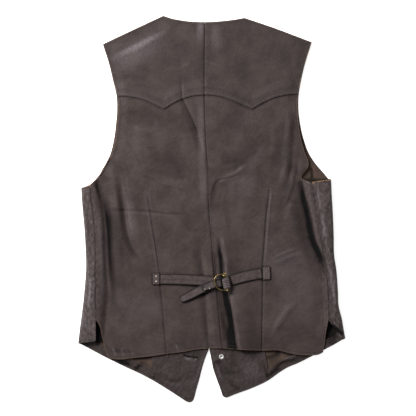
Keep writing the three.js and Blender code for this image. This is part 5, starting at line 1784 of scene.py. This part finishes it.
@dataclass
class Belt:
    """The waist belt: two straps on sewn tabs, the free tail, and the chape beside the buckle."""

    bar_top: tuple[float, float] = (24.4, -124.5)
    bar_foot: tuple[float, float] = (30.6, -154.5)
    wire_radius: float = 1.2
    curl_radius: float = 3.0
    bar_radius: float = 1.1
    bar_beyond: float = 1.5
    sewn_in: float = 2.1
    loop_thick: float = 5.2
    loop_width: float = 14.0
    loop_length: float = 20.0

    def build(self) -> None:
        """Build the straps, their sewing, the leather round the bar and the buckle."""
        left = Strap("belt_strap_left",
                     ((-98, -133.5, 20), (-60, -134, 20), (-20, -136, 20), (17.5, -139, 19.5)),
                     under=back_height, middle=0.35)
        right = Strap("belt_strap_right",
                      ((36.5, -136, 20), (60, -129.5, 20.5), (80, -125, 20.5), (95.4, -122.8, 20.5)),
                      under=back_height)
        tail = Strap("belt_tail",
                     ((3, -146, 15), (-19, -152.5, 16.5), (-36, -161.5, 16), (-48, -167.5, 15),
                      (-60.5, -173.5, 13.5)),
                     under=lambda x, y: np.maximum(back_height(x, y), left.top_at(x, y)),
                     thickness=BELT - 0.1, round_end=8.0, pale=0.1, rim=1.6, dim=0.12, lapped=21.2)
        chape = Strap("belt_chape",
                      ((18.5, -140.5, 16.5), (6, -142.5, 16), (-5, -146, 15), (-15.5, -149.5, 13.5)),
                      under=lambda x, y: np.maximum(tail.under(x, y), tail.top_at(x, y)),
                      thickness=BELT + 0.9, pale=0.12, rim=2.0, dim=0.25)
        tab_left = Strap("belt_tab_left", ((-113, -133, 22.5), (-106, -133, 22.5), (-98.6, -133, 22.5)),
                         under=back_height, thickness=BELT + 0.3, pale=0.08)
        tab_right = Strap("belt_tab_right", ((96.8, -122.4, 25.5), (104, -122.2, 25.5), (111, -122, 25.5)),
                          under=back_height, thickness=BELT + 0.3, pale=0.14)
        sewing = Sewing("stitches_belt", "belt_leather", radius=0.4)
        worn = Sewing("stitches_tabs", "belt_leather", radius=0.5, finish=Finish.WORN_THREAD)
        for strap in (left, right, tail, chape, tab_left, tab_right):
            strap.build()
            edge = strap.stations[1:-1]
            for sign in (-1, 1):
                path = edge[:, :2] + sign * strap.sides[1:-1] * (edge[:, 2:3] / 2 - self.sewn_in)
                (worn if strap.name.startswith("belt_tab") else sewing).row(path, strap.top_at)
        for start, end in (((99, -131), (109, -113)), ((99, -113), (109, -131))):
            worn.row(np.linspace(start, end, 8), tab_right.top_at)
        worn.row(np.linspace((-15, -154), (-5, -151), 8), chape.top_at)
        sewing.build()
        worn.build()
        self.tacks(tab_left, 2.1, ((-105.0, -128.4), (-105.0, -138.2)))
        self.tacks(chape, 1.2, ((-4.2, -151.2), (-12.0, -152.6)))
        for strap in (left, right, tail, chape):
            LOG.info("%s lies between z %.1f and %.1f", strap.name, strap.floor.min(), strap.floor.max())
        frame_z = float(chape.top_at(np.array(6.0), np.array(-142.5))) + GAP + self.wire_radius + 0.1
        self.buckle(frame_z)

    def tacks(self, strap: Strap, radius: float, places: Sequence[tuple[float, float]]) -> None:
        """Set the domed tacks that pin a strap.

        Args:
            strap: what they pin.
            radius: the radius of a head.
            places: x and y of each.
        """
        turn = np.linspace(0, 2 * np.pi, TACK_SIDES, endpoint=False)[None, :]
        dome = radius * np.array(((1, -0.1), (1, 0.07), (0.83, 0.24), (0.52, 0.36), (0.14, 0.4)))
        for i, (x, y) in enumerate(places, start=1):
            z = float(strap.top_at(np.array(x), np.array(y)))
            rings = np.stack((x + dome[:, :1] * np.cos(turn), y + dome[:, :1] * np.sin(turn),
                              np.repeat(z + dome[:, 1:], TACK_SIDES, axis=1)), axis=-1)
            dress(loft(f"{strap.name}_tack_{i}", rings), (Finish.TACK,))

    def buckle(self, frame_z: float) -> None:
        """Build the D of brass wire, its curls, its bar, and the leather rolled round the bar.

        Args:
            frame_z: the height of the wire's axis where it lies on the chape.
        """
        low, high = (np.array(corner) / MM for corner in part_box("buckle_bar"))
        bar_z = float(low[2] + high[2]) / 2
        bend = ((24.4, -125, 1), (14.5, -124.6, 0.5), (7.5, -129.2, 0.1), (5.2, -135, 0), (6.4, -141, 0),
                (8.8, -147.2, 0.1), (13, -151.6, 0.4), (20, -154, 0.8), (30.6, -154, 1))
        path = sample_path(bend, 9)
        path[:, 2] = mix(frame_z, bar_z, path[:, 2])
        frame = loft("buckle_wire", tube(path, self.wire_radius))
        dress(frame, (Finish.BRASS,), ("buckle_frame",))
        ends = [np.array((*point, bar_z)) for point in (self.bar_top, self.bar_foot)]
        along = (ends[1] - ends[0]) / np.linalg.norm(ends[1] - ends[0])
        side = np.cross(along, (0.0, 0.0, 1.0))
        up = np.array((0.0, 0.0, 1.0))
        turns, sides = 32, 16
        for name, middle, lean in (("buckle_curl_top", ends[0], 0.9), ("buckle_curl_foot", ends[1], 0.0)):
            axis = along * np.cos(lean) - up * np.sin(lean)
            rise = up * np.cos(lean) + along * np.sin(lean)
            turn = np.linspace(0, 2 * np.pi, turns + 1)[:-1, None, None]
            ring = np.linspace(0, 2 * np.pi, sides + 1)[None, :-1, None]
            out = side * np.cos(turn) + rise * np.sin(turn)
            points = middle + out * (self.curl_radius + self.wire_radius * np.cos(ring))
            points = points + axis * self.wire_radius * np.sin(ring)
            index = np.arange(turns * sides).reshape(turns, sides)
            quads = np.stack((index, np.roll(index, -1, 1), np.roll(np.roll(index, -1, 1), -1, 0),
                              np.roll(index, -1, 0)), axis=-1).reshape(-1, 4)
            dress(make_object(name, points.reshape(-1, 3), quads[:, ::-1]), (Finish.BRASS,))
        bar_path = np.linspace(ends[0] - along * self.bar_beyond, ends[1] + along * self.bar_beyond, 12)
        bar = loft("buckle_pin_bar", tube(bar_path, self.bar_radius))
        dress(bar, (Finish.BRASS,), ("buckle_bar",))
        self.bar_loop(bar_z, along, side)

    def bar_loop(self, bar_z: float, along: Array, side: Array) -> None:
        """Roll leather round the bar, ribbed where it is gathered.

        Args:
            bar_z: the height of the bar's axis.
            along: the unit direction of the bar.
            side: the unit direction across it.
        """
        middle = np.array((27.8, -141.5, bar_z))
        rib_pitch, rib_rise = 3.3, 0.22
        stations = np.linspace(-0.5, 0.5, 41)
        angle = np.linspace(0, 2 * np.pi, 40, endpoint=False)
        rings = []
        for station in stations:
            rib = rib_rise * math.cos(station * self.loop_length * 2 * math.pi / rib_pitch)
            soft = 1 - 0.25 * abs(2 * station) ** 10
            wide = (self.loop_width / 2 + 0.4 * rib) * soft
            high = (self.loop_thick / 2 + rib) * soft
            centre = middle + along * station * self.loop_length
            raised = np.outer(high * np.sin(angle), (0, 0, 1.0))
            rings.append(centre + side * wide * np.cos(angle)[:, None] + raised)
        grooves = np.clip(-np.cos(stations * self.loop_length * 2 * np.pi / rib_pitch), 0, 1)
        # Painted shade in the grooves between the ribs, and a painted highlight on the ribs, which are also
        # rubbed
        crease = np.repeat(0.8 * grooves, len(angle))
        wear = np.repeat(0.3 * (1 - grooves), len(angle))
        painted_sheen = np.repeat(0.26 * (1 - grooves), len(angle))
        piece = loft("belt_bar_roll", np.array(rings), {"crease": crease, "wear": wear, "painted_sheen": painted_sheen}, 70.0)
        dress(piece, (Finish.STRAP,), ("belt_bar_loop",))


@dataclass
class Fastenings:
    """Buttons under the right front, each held by a ring inside."""

    stem_radius: float = 1.3
    ring_radius: float = 4.9
    ring_bore: float = 1.7
    ring_thick: float = 0.6

    def turned(self, name: str, profile: Rows, at: tuple[float, float]) -> bpy.types.Object:
        """Turn a profile about an upright axis.

        Args:
            name: the piece's name.
            profile: rows of radius and height.
            at: x and y of the axis.

        Returns:
            The new object.
        """
        rows = np.array(profile, dtype=float)
        angle = np.linspace(0, 2 * np.pi, TURNED_SIDES, endpoint=False)[None, :]
        x = at[0] + rows[:, 0:1] * np.cos(angle)
        y = at[1] + rows[:, 0:1] * np.sin(angle)
        z = np.repeat(rows[:, 1:2], TURNED_SIDES, axis=1)
        return loft(name, np.stack((x, y, z), axis=-1), sharp_degrees=40.0)

    def build(self) -> None:
        """Build four buttons with their stems, and their rings."""
        ring_floor = BUTTON_LIFT + LEATHER + FACING + 2 * GAP
        top = ring_floor + self.ring_thick
        r = BUTTON_RADIUS
        stem = self.stem_radius
        button = ((0.2, 0.25), (r * 0.55, 0.25), (r * 0.7, 0.0), (r - 0.6, 0.0), (r - 0.15, 0.2), (r, 0.6),
                  (r, 1.0), (r - 0.15, 1.4), (r - 0.6, 1.6), (stem, 1.6), (stem, top - 0.3), (0.2, top - 0.1))
        bore, rim = self.ring_bore, self.ring_radius
        ring = ((bore, ring_floor), (rim - 0.1, ring_floor), (rim, ring_floor + 0.15),
                (rim - 0.25, top - 0.1), (rim - 0.7, top), (bore + 0.9, top), (bore + 0.3, top - 0.15),
                (bore, top - 0.4))
        for i, y in enumerate(BUTTON_YS, start=1):
            piece = self.turned(f"moulded_button_{i}", button, (BUTTON_X, y))
            dress(piece, (Finish.BUTTON,), (f"button_{i}",))
            washer = self.turned(f"turned_ring_{i}", ring, (BUTTON_X, y))
            dress(washer, (Finish.NICKEL,), (f"button_ring_{i}",))


def plan_path(line: Callable, start: float, end: float, offset: float, across: bool) -> Array:
    """Return a plan path along a line, moved to one side.

    Args:
        line: x as a function of y, or y as a function of x where across is true.
        start: the first y, or x.
        end: the last y, or x.
        offset: how far to the left of the way it runs the path is moved.
        across: whether the line runs across the garment.

    Returns:
        The points of the path, an array of n by 2.
    """
    key = np.linspace(start, end, max(8, int(abs(end - start) / 3)))
    value = line(key)
    path = np.stack((key, value) if across else (value, key), axis=1)
    return offset_path(path, offset)


def sew(name: str, slot: str, height: Height,
        rows: Sequence[tuple[Callable, float, float, float, bool]]) -> None:
    """Sew rows of stitches as one piece.

    Args:
        name: the piece's name.
        slot: not used.
        height: the height of the leather under the rows.
        rows: for each its line, where it starts and ends, its offset, and whether it runs across.
    """
    sewing = Sewing(name, slot)
    for line, start, end, offset, across in rows:
        sewing.row(plan_path(line, start, end, offset, across), height)
    sewing.build()


def sew_back() -> None:
    """Sew the seams of the back: yoke, centre, darts, hem, vents, armholes, shoulders and collar."""
    yoke = [(YOKE_EDGE, start, end, offset, True)
            for low, point, high in ((-176, -91.5, -16), (-12, 76, 161))
            for offset in (1.8, 6.4)
            for start, end in ((low, point), (point, high))]
    collar = [(COLLAR_EDGE, start, end, -4.0, True)
              for start, end in ((-203, -92), (-92, -16), (-11, 62), (62, 186))]
    sew("stitches_yoke", "yoke_leather", yoke_height, (
        *yoke,
        *collar,
        (LEFT_EDGE, 308, 222, 4.0, False),
        (RIGHT_EDGE, 308, 222, -4.0, False),
        (CENTRE_SEAM, 350, 222, 2.6, False),
    ))
    sew("stitches_back", "body_leather", back_height, (
        (CENTRE_SEAM, 212, -262, 2.6, False),
        (Line(LEFT_DART), 48, -282, 2.4, False),
        (Line(RIGHT_DART), 42, -264, -2.4, False),
        (HEM_EDGE, -190, 16, 5.7, True),
        (HEM_EDGE, 24, 206, 5.7, True),
        (LEFT_EDGE, 208, 60, 4.0, False),
        (RIGHT_EDGE, 208, 92, -4.0, False),
        (LEFT_EDGE, -206, -278, 4.0, False),
        (RIGHT_EDGE, -206, -266, -4.0, False),
    ))


def inside_height(x: Array, y: Array) -> Array:
    """Return the height of the facings' inner face."""
    return LEATHER + GAP + FACING + button_lift(x, y)


def sew_fronts() -> None:
    """Sew the side seams on the strips, and the edges of the facings below the back."""
    sew("stitches_sides", "body_leather", back_height, (
        (LEFT_SIDE, 42, -248, -2.6, False),
        (RIGHT_SIDE, 47, -210, 2.6, False),
    ))
    sew("stitches_facings", "facing_leather", inside_height, (
        (Line(LEFT_OPENING, OPENING_CORNERS), -268, -358, -5.0, False),
        (Line(RIGHT_OPENING, OPENING_CORNERS), -268, -352, 5.0, False),
        (Line(LEFT_FRONT_HEM), -244, -48, 5.0, True),
        (Line(RIGHT_FRONT_HEM), 32, 246, 5.0, True),
    ))


@dataclass
class Studio:
    """The white table, the soft lights and the camera straight above."""

    distance: float = 6.0
    sensor: float = 36.0
    key_energy: float = 150.0
    key_size: float = 1.3
    key_place: tuple[float, float, float] = (-1.75, 1.5, 1.75)
    world_strength: float = 0.3
    table_half_mm: float = 3000.0
    table_drop_mm: float = 0.25

    def build(self) -> None:
        """Build the table, lights and camera."""
        self.table()
        self.lights()
        self.camera()

    def table(self) -> None:
        """Lay a wide matt white sheet just under the vest."""
        half, top = self.table_half_mm, -self.table_drop_mm
        corners = np.array([(x * half, y * half, top) for x, y in ((-1, -1), (1, -1), (1, 1), (-1, 1))])
        sheet = make_object("table", corners, [(0, 1, 2, 3)])
        material, tree, output = new_material("matt_white_paper")
        shader = add_node(tree, "BsdfPrincipled", {
            "Base Color": (0.93, 0.93, 0.93, 1.0), "Roughness": 0.9, "Specular IOR Level": 0.1,
            "Emission Color": (1.0, 1.0, 1.0, 1.0), "Emission Strength": 0.75})
        tree.links.new(shader.outputs[0], output.inputs[0])
        sheet.data.materials.append(material)

    def lights(self) -> None:
        """Hang a large soft key towards the upper left and an even white surround."""
        world = bpy.data.worlds.new("studio")
        bpy.context.scene.world = world
        world.use_nodes = True
        background = world.node_tree.nodes["Background"]
        background.inputs[0].default_value = (1.0, 1.0, 1.0, 1.0)
        background.inputs[1].default_value = self.world_strength
        lamp = bpy.data.lights.new("key", "AREA")
        lamp.shape = "DISK"
        lamp.size = self.key_size
        lamp.energy = self.key_energy
        key = bpy.data.objects.new("key", lamp)
        key.location = self.key_place
        key.rotation_euler = (-Vector(self.key_place)).to_track_quat("-Z", "Y").to_euler()
        bpy.context.scene.collection.objects.link(key)

    def camera(self) -> None:
        """Look straight down through a long lens at the photograph's frame."""
        view = bpy.data.cameras.new("camera")
        view.sensor_width = self.sensor
        view.lens = self.sensor * (self.distance - LIE * MM) / (FRAME_WIDTH * MM)
        view.clip_end = 20.0
        camera = bpy.data.objects.new("camera", view)
        camera.location = (FRAME_CENTRE[0] * MM, FRAME_CENTRE[1] * MM, self.distance)
        bpy.context.scene.collection.objects.link(camera)
        bpy.context.scene.camera = camera
        bpy.context.scene.view_settings.view_transform = "Standard"


def build_back() -> None:
    """Build both halves of the back."""
    BackHalf(
        "left",
        lines=(beside_seam(LEFT_EDGE, 47, SEAM / 2), Line(LEFT_TROUGH), Line(LEFT_DART), Line(LEFT_POINT),
               beside_centre(-SEAM / 2)),
        widths=(26, 92, 44, 70), yoke_area=0.0254, panel_area=0.1028,
    ).build()
    BackHalf(
        "right",
        lines=(beside_centre(SEAM / 2), Line(PLEAT_FOOT), Line(PLEAT_CREST), Line(RIGHT_POINT),
               Line(RIGHT_DART), Line(RIGHT_TROUGH), beside_seam(RIGHT_EDGE, 50, -SEAM / 2)),
        widths=(16, 12, 34, 38, 92, 18), yoke_area=0.0266, panel_area=0.0973,
    ).build()


def build_fronts() -> None:
    """Build both fronts with their facings."""
    Front(
        "left", outward=-1, fold=Line(LEFT_FOLD), armhole=Line(LEFT_ARMHOLE),
        opening=Line(LEFT_OPENING, OPENING_CORNERS), hem=Line(LEFT_FRONT_HEM),
        facing_edge=Line(LEFT_FACING_EDGE), seam=LEFT_SIDE,
        armpit=37, strip_top=46, strip_foot=-251, strip_curve=1.0,
        area=0.1387, facing_area=0.0675, hem_facing_area=0.0027,
    ).build()
    Front(
        "right", outward=1, fold=Line(RIGHT_FOLD), armhole=Line(RIGHT_ARMHOLE),
        opening=Line(RIGHT_OPENING, OPENING_CORNERS), hem=Line(RIGHT_FRONT_HEM),
        facing_edge=Line(RIGHT_FACING_EDGE), seam=RIGHT_SIDE,
        armpit=57, strip_top=51, strip_foot=-212, strip_curve=1.7,
        area=0.1409, facing_area=0.0640, hem_facing_area=0.0029,
    ).build()


def main() -> None:
    """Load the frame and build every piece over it."""
    logging.basicConfig(level=logging.INFO, format="%(name)s: %(message)s")
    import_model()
    build_back()
    build_fronts()
    CentreAllowance().build()
    sew_back()
    sew_fronts()
    Belt().build()
    Fastenings().build()
    Studio().build()


if __name__ == "__main__":
    main()
